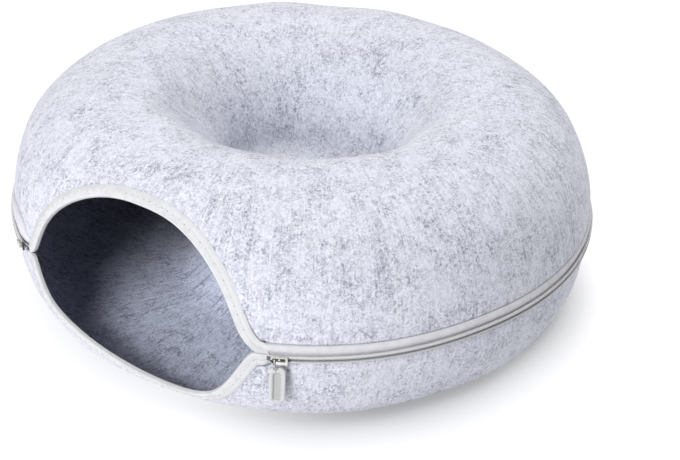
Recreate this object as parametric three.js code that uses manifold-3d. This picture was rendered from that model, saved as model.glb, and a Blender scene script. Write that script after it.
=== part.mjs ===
// A ring-shaped felt tunnel for a cat: two moulded felt shells joined by a zip round the outside,
// with a doorway cut through both, a round hollow in the top and a standing ring underneath.
// Millimetres, +Z up. It stands on Z = 0 with the doorway facing -Y, and the origin is the middle of
// its footprint. The pieces are drawn round the ring's own axis, which lies a little in front.

import * as THREE from 'three';
import { mergeVertices } from 'three/addons/utils/BufferGeometryUtils.js';
import Module from 'manifold-3d';

const wasm = await Module();
wasm.setup();

// The felt ring
const FELT = 2.5; // thickness of the moulded felt
const RING_R = 248.5; // outer radius at the widest height
const RING_Z = 78.4; // widest height
const TOP_Z = 181.4; // height of the crown
const CROWN_R = 151; // radius of the crown's ridge
const WELL_R = 61; // radius that the hollow's wall would reach at the floor
const WELL_FLOOR_Z = 88; // floor of the hollow in the top
const WELL_CREASE = 8; // size of the soft crease round that floor
const FLOOR_RING_R = 30; // a ring of points on each round floor, for even triangles
const BASE_R = 192.4; // outer radius of the flat standing ring
const HUB_BASE_R = 122; // inner radius of the flat standing ring
const HUB_R = 68; // radius of the hub's underside at its top
const AXIS_Y = -4.2; // the ring's axis, so that the origin is the middle of the footprint
const SEWN_GAP = 0.3; // space between pieces that are sewn or laid together
const ROUNDNESS = { outer: 2.35, well: 2.19, lower: 2.5, hub: 2.2 }; // 2 is an ellipse, more is squarer

// The doorway: an arch in the upper shell and a dip in the lower one, whose floor falls towards the right
const ARCH = {
  halfDeg: 22.7, sillZ: 80.4, topZ: 161.8, roundness: 2.38, flareDeg: 3.9, flareHeight: 12.2, shiftDeg: -0.3,
};
const DIP = { floorZ: 32.1, fallPerDeg: 0.8, brimZ: 79.8, sideDeg: 26.2 };
const DIP_RIGHT = { floorDeg: 0.6, ease: 3.1 };
const DIP_LEFT = { floorDeg: 11, ease: 3.4 };
const TAIL_DEG = 27.3; // the bindings' ends, beside the zip's ends
const SLIT_DROP = 0.4; // how far the slit between the two bindings falls towards the zip

// The binding tape folded over both cut edges
const BIND = { width: 10, thick: 0.8, fold: 1.0, bend: 0.7, edgeGap: 0.6, insideGap: 1.3, tuck: 0.8 };

// The zip
const ZIP_Z = 78; // height of the line where the two coils meet, beside the doorway
const ZIP_RISE = { height: 3.4, fromDeg: 42, toDeg: 72 }; // the zip runs higher round the sides and back
const UPPER_FELT_EDGE_Z = 89.5;
const LOWER_FELT_EDGE_Z = 74.2;
const TAPE_ENDS = { right: 27.9, left: 28.6 }; // degrees from the doorway's middle to the tapes' ends
const COIL_ENDS = { right: 28.6, left: 31.1 };

// Upper tape's section, as radius and height above the line where the coils meet
const UPPER_TAPE = [
  { r: 248.1, up: 0.4 },
  { r: 248.7, up: 3.5 },
  { r: 250.0, up: 5.4 },
  { r: 250.1, up: 9.0 },
  { r: 248.6, up: 10.7 },
  { r: 245.0, up: 10.7 },
  { r: 243.9, up: 20 },
  { r: 243.1, up: 20 },
  { r: 244.2, up: 9.9 },
  { r: 248.1, up: 9.8 },
  { r: 249.1, up: 8.6 },
  { r: 249.0, up: 5.8 },
  { r: 247.9, up: 4.0 },
  { r: 247.3, up: 0.4 },
];
// Lower tape's section: it goes under the felt right behind the coil
const LOWER_TAPE = [
  { r: 248.1, up: -0.4 },
  { r: 248.6, up: -2.0 },
  { r: 248.3, up: -3.0 },
  { r: 245.1, up: -3.1 },
  { r: 244.6, up: -13 },
  { r: 243.8, up: -13 },
  { r: 244.3, up: -2.3 },
  { r: 247.6, up: -2.2 },
  { r: 247.3, up: -0.4 },
];
// Section of one half of the coil, up being away from the meeting line
const COIL = [
  { r: 249.1, up: 0.6 },
  { r: 251.3, up: 0.6 },
  { r: 252.0, up: 1.2 },
  { r: 252.0, up: 2.4 },
  { r: 251.3, up: 3.0 },
  { r: 249.1, up: 3.0 },
];

// Slider, its ring and puller, and the box at the zip's other end
const SLIDER = { deg: 30.2, length: 14 };
const CHANNEL = { r: 252.7, plate: 1.3, flangeIn: 2.3, flange: 0.8, half: 4.2, corner: 1.5 };
const LUG = { width: 5, bottomZ: 70.6, eyeZ: 72.8, corner: 1.6 };
const PULLER = { width: 12, flatTop: 4.5, shoulder: 5, corner: 2.6, topZ: 70.2, length: 28.2, eyeZ: 68 };
const PULLER_FACE = { thick: 1.7, rim: 0.7, border: 2.8, underEye: 1.1 };
const LINK = { r: 253.35, z: 70.4, radius: 2.4, wire: 0.5 };
const EYE_R = 1.2;
const END_BOX = { deg: -31.6, length: 10, wall: 1 };

// Angles of the felt's columns: close together across the doorway's sides, even round the back
const DOOR_COLUMNS = [
  0, 3, 6, 9, 12, 14.5, 17, 18.8, 20.4, 21.8, 22.9, 23.7, 24.4, 25.2, 26.1, 27.2, 27.4, 30,
];
const BACK_STEP_DEG = 7.5;
const STATIONS = { step: 9, cornerStep: 3, cornerRun: 30 }; // spacing of the bindings' sections

const rad = THREE.MathUtils.degToRad;

// A quarter of a superellipse in the section plane: x is the radius, y the height
class SuperArc extends THREE.Curve {
  constructor(centreR, centreZ, reachR, reachZ, roundness) {
    super();
    Object.assign(this, { centreR, centreZ, reachR, reachZ, roundness });
    this.arcLengthDivisions = 800;
  }
  getPoint(t, target = new THREE.Vector2()) {
    const angle = (t * Math.PI) / 2;
    const power = 2 / this.roundness;
    const across = Math.pow(Math.max(Math.cos(angle), 0), power);
    const along = Math.pow(Math.sin(angle), power);
    return target.set(this.centreR + this.reachR * across, this.centreZ + this.reachZ * along);
  }
  // Share of the arc's length at which it passes a height, 0 for heights before its start
  shareAtHeight(z) {
    let low = 0;
    let high = 1;
    for (let step = 0; step < 40; step++) {
      const middle = (low + high) / 2;
      const passed = (this.getPointAt(middle).y - z) * Math.sign(this.reachZ) > 0;
      if (passed) high = middle;
      else low = middle;
    }
    return (low + high) / 2;
  }
  // Length along the arc to a height, negative where the wall goes on upright before its start
  lengthAtHeight(z) {
    const before = Math.max((this.centreZ - z) * Math.sign(this.reachZ), 0);
    return this.shareAtHeight(z) * this.getLength() - before;
  }
  // Point at a length along the wall, moved out of the wall by a distance
  pointOver(length, over) {
    const share = THREE.MathUtils.clamp(length / this.getLength(), 0.0005, 1);
    const way = Math.sign(this.reachZ);
    const point = this.getPointAt(share);
    const tangent = this.getTangentAt(share);
    const upright = Math.min(length, 0) * way;
    return new THREE.Vector2(point.x + tangent.y * way * over, point.y - tangent.x * way * over + upright);
  }
}

const outerWall = new SuperArc(CROWN_R, RING_Z, RING_R - CROWN_R, TOP_Z - RING_Z, ROUNDNESS.outer);
const wellWall = new SuperArc(CROWN_R, 0, WELL_R - CROWN_R, TOP_Z, ROUNDNESS.well);
const lowerWall = new SuperArc(BASE_R, RING_Z, RING_R - BASE_R, -RING_Z, ROUNDNESS.lower);
const HUB_TOP_Z = WELL_FLOOR_Z - 2 * FELT - SEWN_GAP; // underside of the hub's top
const hubWall = new SuperArc(HUB_BASE_R, HUB_TOP_Z, HUB_R - HUB_BASE_R, -HUB_TOP_Z, ROUNDNESS.hub);

// Doorway outlines from left to right, as heights over the angle from the doorway's middle

// Points of the arch and its two ends along the slit; grow makes the outline larger all round
function archPoints(grow) {
  const growDeg = THREE.MathUtils.radToDeg(grow / RING_R);
  const end = { deg: TAIL_DEG + growDeg, z: ARCH.sillZ + grow - SLIT_DROP };
  const points = [{ deg: -end.deg, z: end.z }];
  const steps = 90;
  for (let i = -steps; i <= steps; i++) {
    const angle = ((i / steps) * Math.PI) / 2;
    const side = Math.sign(i);
    const rise = Math.pow(Math.max(Math.cos(angle), 0), 2 / ARCH.roundness);
    const spread = Math.pow(Math.abs(Math.sin(angle)), 2 / ARCH.roundness);
    const z = ARCH.sillZ + grow + (ARCH.topZ - ARCH.sillZ) * rise;
    const flare = ARCH.flareDeg * Math.exp((ARCH.sillZ + grow - z) / ARCH.flareHeight);
    points.push({ deg: ARCH.shiftDeg + side * ((ARCH.halfDeg + growDeg) * spread + flare), z });
  }
  points.push(end);
  return points;
}

// Height of the dip's edge at an angle: a sloping floor, and a soft rise to the brim on either side
function dipHeight(deg) {
  const side = deg > 0 ? DIP_RIGHT : DIP_LEFT;
  const share = Math.max((Math.abs(deg) - side.floorDeg) / (DIP.sideDeg - side.floorDeg), 0);
  const rise = THREE.MathUtils.smoothstep(Math.pow(share, side.ease), 0, 1);
  const floor = DIP.floorZ - DIP.fallPerDeg * deg;
  return floor + (DIP.brimZ - floor) * rise;
}

// Points of the dip and its two ends along the slit
function dipPoints(grow) {
  const growDeg = THREE.MathUtils.radToDeg(grow / RING_R);
  const end = { deg: TAIL_DEG + growDeg, z: DIP.brimZ - grow - SLIT_DROP };
  const points = [{ deg: -end.deg, z: end.z }];
  const steps = 40;
  for (let i = -steps; i <= steps; i++) {
    const deg = (DIP.sideDeg * i) / steps;
    const outward = (growDeg * i) / steps;
    points.push({ deg: deg + outward, z: dipHeight(deg) - grow });
  }
  points.push(end);
  return points;
}

function heightOver(points, deg) {
  const i = points.findIndex((point) => point.deg >= deg);
  if (i < 1) return points.at(i).z;
  const a = points[i - 1];
  const b = points[i];
  return THREE.MathUtils.mapLinear(deg, a.deg, b.deg, a.z, b.z);
}

// Solids

function solidMesh(name, geometry, material) {
  geometry.computeVertexNormals();
  const mesh = new THREE.Mesh(geometry, material);
  mesh.name = name;
  return mesh;
}

function geometryFrom(positions, triangles) {
  const geometry = new THREE.BufferGeometry();
  geometry.setAttribute('position', new THREE.Float32BufferAttribute(positions.flat(), 3));
  geometry.setIndex(triangles.flat());
  return geometry;
}

function turned(r, z, angle) {
  return [r * Math.sin(angle), -r * Math.cos(angle), z];
}

// Moves an open section line sideways by a distance, along the mean of its neighbours' directions
function offsetLine(line, distance) {
  return line.map((point, i) => {
    const before = line[Math.max(i - 1, 0)];
    const after = line[Math.min(i + 1, line.length - 1)];
    const along = new THREE.Vector2().subVectors(after, before).normalize();
    const moved = new THREE.Vector2(point.x - along.y * distance, point.y + along.x * distance);
    if (point.x === 0) moved.x = 0;
    return moved;
  });
}

// A turned sheet whose section changes with the angle: each column runs from the edge to the axis
function sheetSolid(columns, facing) {
  const positions = [];
  const triangles = [];
  const rows = columns[0].line.length - 1;
  const count = columns.length;
  for (const { angle, line, inside } of columns) {
    for (let j = 0; j < rows; j++) positions.push(turned(line[j].x, line[j].y, angle));
    for (let j = 0; j < rows; j++) positions.push(turned(inside[j].x, inside[j].y, angle));
  }
  const outsideTip = positions.length;
  positions.push([0, 0, columns[0].line[rows].y]);
  const insideTip = positions.length;
  positions.push([0, 0, columns[0].inside[rows].y]);
  const put = (a, b, c) => triangles.push(facing > 0 ? [a, b, c] : [a, c, b]);
  for (let i = 0; i < count; i++) {
    const here = i * 2 * rows;
    const next = ((i + 1) % count) * 2 * rows;
    for (let j = 0; j < rows - 1; j++) {
      put(here + j, next + j, next + j + 1);
      put(here + j, next + j + 1, here + j + 1);
      put(here + rows + j, next + rows + j + 1, next + rows + j);
      put(here + rows + j, here + rows + j + 1, next + rows + j + 1);
    }
    put(here + rows - 1, next + rows - 1, outsideTip);
    put(here + 2 * rows - 1, insideTip, next + 2 * rows - 1);
    put(here, here + rows, next + rows);
    put(here, next + rows, next);
  }
  return geometryFrom(positions, triangles);
}

// A strip through closed sections that share one outline, with flat ends
function stripSolid(outline, sections) {
  const size = outline.length;
  const clockwise = THREE.ShapeUtils.isClockWise(outline);
  const ordered = (list) => (clockwise ? [...list].reverse() : list);
  const positions = sections.flatMap(ordered);
  const triangles = [];
  for (let i = 0; i < sections.length - 1; i++) {
    for (let j = 0; j < size; j++) {
      const a = i * size + j;
      const b = i * size + ((j + 1) % size);
      triangles.push([a, b, b + size], [a, b + size, a + size]);
    }
  }
  const last = positions.length - size;
  for (const [a, b, c] of THREE.ShapeUtils.triangulateShape(ordered(outline), [])) {
    triangles.push([a, c, b], [last + a, last + b, last + c]);
  }
  const geometry = geometryFrom(positions, triangles);
  if (manifoldOf(geometry).volume() < 0) geometry.index.array.reverse();
  return geometry;
}

function manifoldOf(geometry) {
  const bare = geometry.clone();
  bare.deleteAttribute('normal');
  bare.deleteAttribute('uv');
  const merged = mergeVertices(bare, 1e-4);
  const vertProperties = new Float32Array(merged.attributes.position.array);
  const triVerts = new Uint32Array(merged.index.array);
  return new wasm.Manifold(new wasm.Mesh({ numProp: 3, vertProperties, triVerts }));
}

function geometryOf(solid) {
  const { vertProperties, triVerts, numProp } = solid.getMesh();
  const positions = [];
  for (let i = 0; i < vertProperties.length; i += numProp) {
    positions.push([vertProperties[i], vertProperties[i + 1], vertProperties[i + 2]]);
  }
  return geometryFrom(positions, [Array.from(triVerts)]);
}

// Materials

const felt = new THREE.MeshStandardMaterial({ color: 0xd3d6de, roughness: 0.95, metalness: 0 });
const binding = new THREE.MeshStandardMaterial({ color: 0xe6e6ea, roughness: 0.85, metalness: 0 });
const tape = new THREE.MeshStandardMaterial({ color: 0xdbd9dc, roughness: 0.8, metalness: 0 });
const coil = new THREE.MeshStandardMaterial({ color: 0xcfcfd2, roughness: 0.5, metalness: 0 });
const metal = new THREE.MeshStandardMaterial({ color: 0xc9c8c4, roughness: 0.3, metalness: 1 });
const moulded = new THREE.MeshStandardMaterial({ color: 0xc3c6c5, roughness: 0.6, metalness: 0 });

// The felt shells

function columnAngles() {
  const lastDoor = DOOR_COLUMNS.at(-1);
  const right = DOOR_COLUMNS.slice(1);
  const back = [];
  for (let deg = lastDoor + BACK_STEP_DEG; deg < 360 - lastDoor; deg += BACK_STEP_DEG) back.push(deg);
  const left = right.map((deg) => 360 - deg).reverse();
  return [0, ...right, ...back, ...left];
}

// Angle from the doorway's middle, negative on its left
function fromDoor(deg) {
  return deg > 180 ? deg - 360 : deg;
}

// How far the zip and the felt's edges beside it stand higher than at the doorway
function zipRise(deg) {
  const { height, fromDeg, toDeg } = ZIP_RISE;
  return height * THREE.MathUtils.smoothstep(Math.abs(fromDoor(deg)), fromDeg, toDeg);
}

// Points along an arc between two shares of its length, the first one left out
function arcRows(arc, from, to, count) {
  const rows = [];
  for (let i = 1; i <= count; i++) rows.push(arc.getPointAt(from + ((to - from) * i) / count));
  return rows;
}

// A soft crease from a wall's last point to a level floor
function creaseRows(wallEnd, floorZ, count) {
  const corner = new THREE.Vector2(wallEnd.x - WELL_CREASE / 4, floorZ);
  const floorStart = new THREE.Vector2(corner.x - WELL_CREASE, floorZ);
  const bend = new THREE.QuadraticBezierCurve(wallEnd, corner, floorStart);
  return bend.getPoints(count).slice(1);
}

function upperShell() {
  const edgePoints = archPoints(BIND.fold + BIND.tuck);
  const joinShare = 0.78; // share of the outer wall above which every column is alike
  const wallRows = 5;
  const crown = arcRows(outerWall, joinShare, 1, 2);
  const creaseStart = wellWall.shareAtHeight(WELL_FLOOR_Z + WELL_CREASE);
  const well = arcRows(wellWall, 1, creaseStart, 5);
  const floor = creaseRows(well.at(-1), WELL_FLOOR_Z, 2);
  const centre = [new THREE.Vector2(FLOOR_RING_R, WELL_FLOOR_Z), new THREE.Vector2(0, WELL_FLOOR_Z)];
  const columns = columnAngles().map((deg) => {
    const inDoor = Math.abs(fromDoor(deg)) < TAIL_DEG;
    const edgeZ = inDoor ? heightOver(edgePoints, fromDoor(deg)) : UPPER_FELT_EDGE_Z + zipRise(deg);
    const edgeShare = outerWall.shareAtHeight(edgeZ);
    const edge = outerWall.getPointAt(edgeShare);
    const wall = arcRows(outerWall, edgeShare, joinShare, wallRows);
    const line = [edge, ...wall, ...crown, ...well, ...floor, ...centre];
    return { angle: rad(deg), line, inside: offsetLine(line, FELT) };
  });
  return solidMesh('upper_shell', sheetSolid(columns, 1), felt);
}

function lowerShell() {
  const edgePoints = dipPoints(BIND.fold + BIND.tuck);
  const joinShare = 0.8;
  const wallRows = 4;
  const heel = arcRows(lowerWall, joinShare, 1, 3);
  const creaseStart = hubWall.shareAtHeight(HUB_TOP_Z - WELL_CREASE);
  const standing = [new THREE.Vector2(HUB_BASE_R, 0)];
  const hub = arcRows(hubWall, 1, creaseStart, 4);
  const crease = creaseRows(hub.at(-1), HUB_TOP_Z, 2);
  const centre = [new THREE.Vector2(FLOOR_RING_R, HUB_TOP_Z), new THREE.Vector2(0, HUB_TOP_Z)];
  const columns = columnAngles().map((deg) => {
    const inDoor = Math.abs(fromDoor(deg)) < TAIL_DEG;
    const edgeZ = inDoor ? heightOver(edgePoints, fromDoor(deg)) : LOWER_FELT_EDGE_Z + zipRise(deg);
    const edgeShare = lowerWall.shareAtHeight(edgeZ);
    const edge = lowerWall.getPointAt(edgeShare);
    const wall = arcRows(lowerWall, edgeShare, joinShare, wallRows);
    const line = [edge, ...wall, ...heel, ...standing, ...hub, ...crease, ...centre];
    return { angle: rad(deg), line, inside: offsetLine(line, -FELT) };
  });
  return solidMesh('lower_shell', sheetSolid(columns, -1), felt);
}

// The folded bindings

// Folded section of the binding: into is the distance from the doorway's edge, over the height above the felt
function bindingSection() {
  const outFace = BIND.edgeGap + BIND.thick;
  const inFace = -FELT - BIND.insideGap;
  return [
    { into: BIND.width, over: BIND.edgeGap },
    { into: BIND.width, over: outFace },
    { into: BIND.bend, over: outFace },
    { into: 0, over: outFace - BIND.bend },
    { into: 0, over: inFace - BIND.thick + BIND.bend },
    { into: BIND.bend, over: inFace - BIND.thick },
    { into: BIND.width, over: inFace - BIND.thick },
    { into: BIND.width, over: inFace },
    { into: BIND.fold, over: inFace },
    { into: BIND.fold, over: BIND.edgeGap },
  ];
}

// Stations along a doorway edge from the left end to the right one, closer together near the corners
function edgeStations(wall, points) {
  const flat = points.map(({ deg, z }) => {
    return new THREE.Vector2(rad(deg) * RING_R, wall.lengthAtHeight(z));
  });
  const path = new THREE.CurvePath();
  for (let i = 1; i < flat.length; i++) path.add(new THREE.LineCurve(flat[i - 1], flat[i]));
  const length = path.getLength();
  const places = [];
  for (let at = 0; at < STATIONS.cornerRun; at += STATIONS.cornerStep) places.push(at);
  const middle = length - 2 * STATIONS.cornerRun;
  const count = Math.round(middle / STATIONS.step);
  for (let i = 0; i <= count; i++) places.push(STATIONS.cornerRun + (middle * i) / count);
  for (let at = STATIONS.cornerRun; at > 0; at -= STATIONS.cornerStep) {
    places.push(length - at + STATIONS.cornerStep);
  }
  return places.map((at) => path.getPointAt(at / length));
}

function bindingStrip(name, wall, points) {
  const section = bindingSection();
  const stations = edgeStations(wall, points);
  const sections = stations.map((station, i) => {
    const before = stations[Math.max(i - 1, 0)];
    const after = stations[Math.min(i + 1, stations.length - 1)];
    const along = new THREE.Vector2().subVectors(after, before).normalize();
    return section.map(({ into, over }) => {
      const point = wall.pointOver(station.y + along.x * into, over);
      return turned(point.x, point.y, (station.x - along.y * into) / RING_R);
    });
  });
  const outline = section.map(({ into, over }) => new THREE.Vector2(into, over));
  return solidMesh(name, stripSolid(outline, sections), binding);
}

// The zip

function zipAngles({ right, left }) {
  const angles = columnAngles().filter((deg) => deg > right && deg < 360 - left);
  return [right, ...angles, 360 - left];
}

function zipStrip(name, profile, direction, ends, material) {
  const outline = profile.map(({ r, up }) => new THREE.Vector2(r, ZIP_Z + up * direction));
  const sections = zipAngles(ends).map((deg) => {
    return outline.map((point) => turned(point.x, point.y + zipRise(deg), rad(deg)));
  });
  return solidMesh(name, stripSolid(outline, sections), material);
}

// Small hard pieces are drawn facing -Y, as flat shapes of width and height pushed out along the radius

function pushedOut(shape, fromR, depth) {
  const geometry = new THREE.ExtrudeGeometry(shape, { depth, bevelEnabled: false, curveSegments: 5 });
  return geometry.translate(0, 0, fromR).rotateX(Math.PI / 2);
}

function boxAt(width, fromR, depth, bottomZ, topZ) {
  const geometry = new THREE.BoxGeometry(width, depth, topZ - bottomZ);
  return geometry.translate(0, -(fromR + depth / 2), (bottomZ + topZ) / 2);
}

function roundedShape(left, right, bottom, top, radius) {
  const shape = new THREE.Shape();
  shape.moveTo(left + radius, bottom);
  shape.lineTo(right - radius, bottom);
  shape.absarc(right - radius, bottom + radius, radius, -Math.PI / 2, 0);
  shape.lineTo(right, top - radius);
  shape.absarc(right - radius, top - radius, radius, 0, Math.PI / 2);
  shape.lineTo(left + radius, top);
  shape.absarc(left + radius, top - radius, radius, Math.PI / 2, Math.PI);
  shape.lineTo(left, bottom + radius);
  shape.absarc(left + radius, bottom + radius, radius, Math.PI, 1.5 * Math.PI);
  return shape;
}

function roundHole(z) {
  return new THREE.Path().absarc(0, z, EYE_R, 0, 2 * Math.PI, true);
}

// A channel over the coils: a front plate with a flange along its top and bottom
function channelSolid(length) {
  const bottom = ZIP_Z - CHANNEL.half;
  const top = ZIP_Z + CHANNEL.half;
  const face = roundedShape(-length / 2, length / 2, bottom, top, CHANNEL.corner);
  const plate = pushedOut(face, CHANNEL.r, CHANNEL.plate);
  const flangeLength = length - 2 * CHANNEL.corner;
  const flangeR = CHANNEL.r - CHANNEL.flangeIn;
  const flangeDepth = CHANNEL.flangeIn + CHANNEL.plate / 2;
  const lower = boxAt(flangeLength, flangeR, flangeDepth, bottom, bottom + CHANNEL.flange);
  const upper = boxAt(flangeLength, flangeR, flangeDepth, top - CHANNEL.flange, top);
  return manifoldOf(plate).add(manifoldOf(lower)).add(manifoldOf(upper));
}

function zipSlider() {
  const half = LUG.width / 2;
  const lugShape = roundedShape(-half, half, LUG.bottomZ, ZIP_Z, LUG.corner);
  const lug = pushedOut(lugShape, CHANNEL.r, CHANNEL.plate);
  const eye = pushedOut(new THREE.Shape(roundHole(LUG.eyeZ).getPoints(8)), CHANNEL.r - 1, CHANNEL.plate + 2);
  const solid = channelSolid(SLIDER.length).add(manifoldOf(lug)).subtract(manifoldOf(eye));
  const mesh = solidMesh('zip_slider', geometryOf(solid), metal);
  mesh.rotation.z = rad(SLIDER.deg);
  return mesh;
}

function zipRing() {
  const geometry = new THREE.TorusGeometry(LINK.radius, LINK.wire, 6, 16);
  geometry.rotateY(Math.PI / 2).translate(0, -LINK.r, LINK.z);
  const mesh = solidMesh('zip_ring', geometryOf(manifoldOf(geometry)), metal);
  mesh.rotation.z = rad(SLIDER.deg);
  return mesh;
}

// A moulded tab with a raised rim round a recessed panel
function zipPuller() {
  const bottom = PULLER.topZ - PULLER.length;
  const half = PULLER.width / 2;
  const flatHalf = PULLER.flatTop / 2;
  const shoulderZ = PULLER.topZ - PULLER.shoulder;
  const outline = new THREE.Shape();
  outline.moveTo(-half + PULLER.corner, bottom);
  outline.lineTo(half - PULLER.corner, bottom);
  outline.absarc(half - PULLER.corner, bottom + PULLER.corner, PULLER.corner, -Math.PI / 2, 0);
  outline.lineTo(half, shoulderZ);
  outline.quadraticCurveTo(half, PULLER.topZ, flatHalf, PULLER.topZ);
  outline.lineTo(-flatHalf, PULLER.topZ);
  outline.quadraticCurveTo(-half, PULLER.topZ, -half, shoulderZ);
  outline.lineTo(-half, bottom + PULLER.corner);
  outline.absarc(-half + PULLER.corner, bottom + PULLER.corner, PULLER.corner, Math.PI, 1.5 * Math.PI);
  outline.holes.push(roundHole(PULLER.eyeZ));
  const innerR = LINK.r - PULLER_FACE.thick / 2;
  const tab = manifoldOf(pushedOut(outline, innerR, PULLER_FACE.thick));
  const panelHalf = half - PULLER_FACE.border;
  const rimTop = PULLER.eyeZ - EYE_R;
  const panelTop = rimTop - PULLER_FACE.underEye;
  const rimShape = roundedShape(-half, half, bottom, rimTop, PULLER.corner);
  const rim = pushedOut(rimShape, innerR + PULLER_FACE.thick / 2, PULLER_FACE.thick / 2 + PULLER_FACE.rim);
  const panel = new THREE.Shape();
  panel.moveTo(-panelHalf, bottom + PULLER_FACE.border);
  panel.lineTo(panelHalf, bottom + PULLER_FACE.border);
  panel.lineTo(panelHalf, panelTop - panelHalf);
  panel.absarc(0, panelTop - panelHalf, panelHalf, 0, Math.PI);
  const recess = pushedOut(panel, innerR + PULLER_FACE.thick, 2 * PULLER_FACE.rim);
  const solid = tab.add(manifoldOf(rim)).subtract(manifoldOf(recess));
  const mesh = solidMesh('zip_puller', geometryOf(solid), moulded);
  mesh.rotation.z = rad(SLIDER.deg);
  return mesh;
}

function zipEndBox() {
  const bottom = ZIP_Z - CHANNEL.half;
  const top = ZIP_Z + CHANNEL.half;
  const endR = CHANNEL.r - CHANNEL.flangeIn;
  const endDepth = CHANNEL.flangeIn + CHANNEL.plate / 2;
  const end = boxAt(END_BOX.wall, endR, endDepth, bottom, top);
  end.translate((END_BOX.length - END_BOX.wall) / 2 - CHANNEL.corner, 0, 0);
  const solid = channelSolid(END_BOX.length).add(manifoldOf(end));
  const mesh = solidMesh('zip_end_box', geometryOf(solid), metal);
  mesh.rotation.z = rad(END_BOX.deg);
  return mesh;
}

const tunnel = new THREE.Group();
tunnel.position.y = AXIS_Y;
tunnel.add(upperShell());
tunnel.add(lowerShell());
tunnel.add(bindingStrip('upper_binding', outerWall, archPoints(0)));
tunnel.add(bindingStrip('lower_binding', lowerWall, dipPoints(0)));
tunnel.add(zipStrip('zip_tape_upper', UPPER_TAPE, 1, TAPE_ENDS, tape));
tunnel.add(zipStrip('zip_tape_lower', LOWER_TAPE, 1, TAPE_ENDS, tape));
tunnel.add(zipStrip('zip_coil_upper', COIL, 1, COIL_ENDS, coil));
tunnel.add(zipStrip('zip_coil_lower', COIL, -1, COIL_ENDS, coil));
tunnel.add(zipSlider());
tunnel.add(zipRing());
tunnel.add(zipPuller());
tunnel.add(zipEndBox());

export default tunnel;
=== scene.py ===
# %% [markdown]
# # A felt cat tunnel, dressed around its solids
# The object is a ring of moulded grey felt, sewn from an upper and a lower shell that a zip joins round
# the outside. A doorway is cut through both shells and its edges are bound with tape. The solids of every
# piece are already packed at their real size. This script loads them as a fixed frame and gives each one
# a finer skin of the same form, with felt, woven tape, thread, nylon and metal finishes.

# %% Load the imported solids
import bpy
import numpy as np
from mathutils import Matrix, Vector


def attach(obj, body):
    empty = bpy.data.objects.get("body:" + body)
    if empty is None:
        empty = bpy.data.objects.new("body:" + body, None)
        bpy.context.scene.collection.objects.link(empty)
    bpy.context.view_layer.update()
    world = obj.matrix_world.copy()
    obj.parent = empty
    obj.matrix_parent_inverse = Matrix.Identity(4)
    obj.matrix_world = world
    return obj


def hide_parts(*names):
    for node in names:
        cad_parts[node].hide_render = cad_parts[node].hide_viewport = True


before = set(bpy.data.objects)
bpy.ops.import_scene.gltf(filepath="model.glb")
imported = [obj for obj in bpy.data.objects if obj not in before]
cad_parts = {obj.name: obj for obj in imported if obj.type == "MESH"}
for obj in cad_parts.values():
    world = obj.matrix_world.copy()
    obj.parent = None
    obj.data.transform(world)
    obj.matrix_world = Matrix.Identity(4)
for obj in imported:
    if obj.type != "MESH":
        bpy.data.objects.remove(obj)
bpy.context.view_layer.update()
print("solids:", sorted(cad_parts))

# %% [markdown]
# ## Driving sizes
# Lengths are written in millimetres, as on the maker's drawing, and turned into metres once. The ring is
# described by its section: the radius from the ring's own axis and the height above the floor. The axis
# stands a little in front of the origin, because the origin is the middle of the footprint.

# %% Sizes of the ring, the doorway and the zip
MM = 0.001
AXIS_Y = -4.2 * MM
FELT, LAYER_GAP = 2.5 * MM, 0.3 * MM
RING_R, RING_Z = 248.5 * MM, 78.4 * MM
TOP_Z, CROWN_R = 181.4 * MM, 151 * MM
WELL_R, WELL_FLOOR_Z, WELL_CREASE = 61 * MM, 88 * MM, 8 * MM
BASE_R, HUB_BASE_R, HUB_R = 192.4 * MM, 122 * MM, 68 * MM
HUB_TOP_Z = WELL_FLOOR_Z - 2 * FELT - LAYER_GAP
ROUNDNESS = {"outer": 2.35, "well": 2.19, "lower": 2.5, "hub": 2.2}
ARCH = {"half_deg": 22.7, "sill": 80.4 * MM, "top": 161.8 * MM, "roundness": 2.38}
FLARE = {"deg": 3.9, "height": 12.2 * MM, "shift_deg": -0.3}
DIP = {"floor": 32.1 * MM, "fall_per_deg": 0.8 * MM, "brim": 79.8 * MM, "side_deg": 26.2}
DIP_RISE = {"start_deg": (0.6, 11.0), "ease": (3.1, 3.4)}  # right side, left side
TAIL_DEG, SLIT_DROP = 27.3, 0.4 * MM
ZIP_Z = 78 * MM
ZIP_RISE = {"height": 3.4 * MM, "from_deg": 42, "to_deg": 72}
LEFT_BAND = {"lift": 11.0 * MM, "rise_deg": (26, 33), "fall_deg": (36, 50)}
FELT_EDGE_Z = {"upper": 88.6 * MM, "lower": 74.6 * MM}
print(f"ring {2 * RING_R:.3f} m across, {TOP_Z:.3f} m high")

# %% [markdown]
# ## Helpers that turn arrays into meshes
# Every new piece is a grid of points: a function of two parameters, worked out as one array. The helpers
# below join neighbouring points with four-sided faces, close the grid where its first and last rows
# meet, and put the arrays into the mesh with `foreach_set`, which is far quicker than a loop.

# %% Points and faces of a grid
def around(radius, height, angle):
    """Point of the ring: the angle is 0 at the doorway's middle (-Y) and grows towards +X."""
    return np.stack([radius * np.sin(angle), AXIS_Y - radius * np.cos(angle), height + 0 * angle], -1)


def grid_faces(columns, rows, wrap_columns=False, wrap_rows=False):
    """Four-sided faces of a grid whose point (i, j) is number i * rows + j."""
    i = np.arange(columns if wrap_columns else columns - 1)[:, None]
    j = np.arange(rows if wrap_rows else rows - 1)[None, :]
    after_i, after_j = (i + 1) % columns, (j + 1) % rows
    corners = [i * rows + j, after_i * rows + j, after_i * rows + after_j, i * rows + after_j]
    return np.stack(np.broadcast_arrays(*corners), -1).reshape(-1, 4)


def fan_faces(ring, tip):
    """Triangles from each pair of neighbours on a closed ring of points to one tip."""
    return np.stack([ring, np.roll(ring, -1), np.full(len(ring), tip)], -1)


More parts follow.
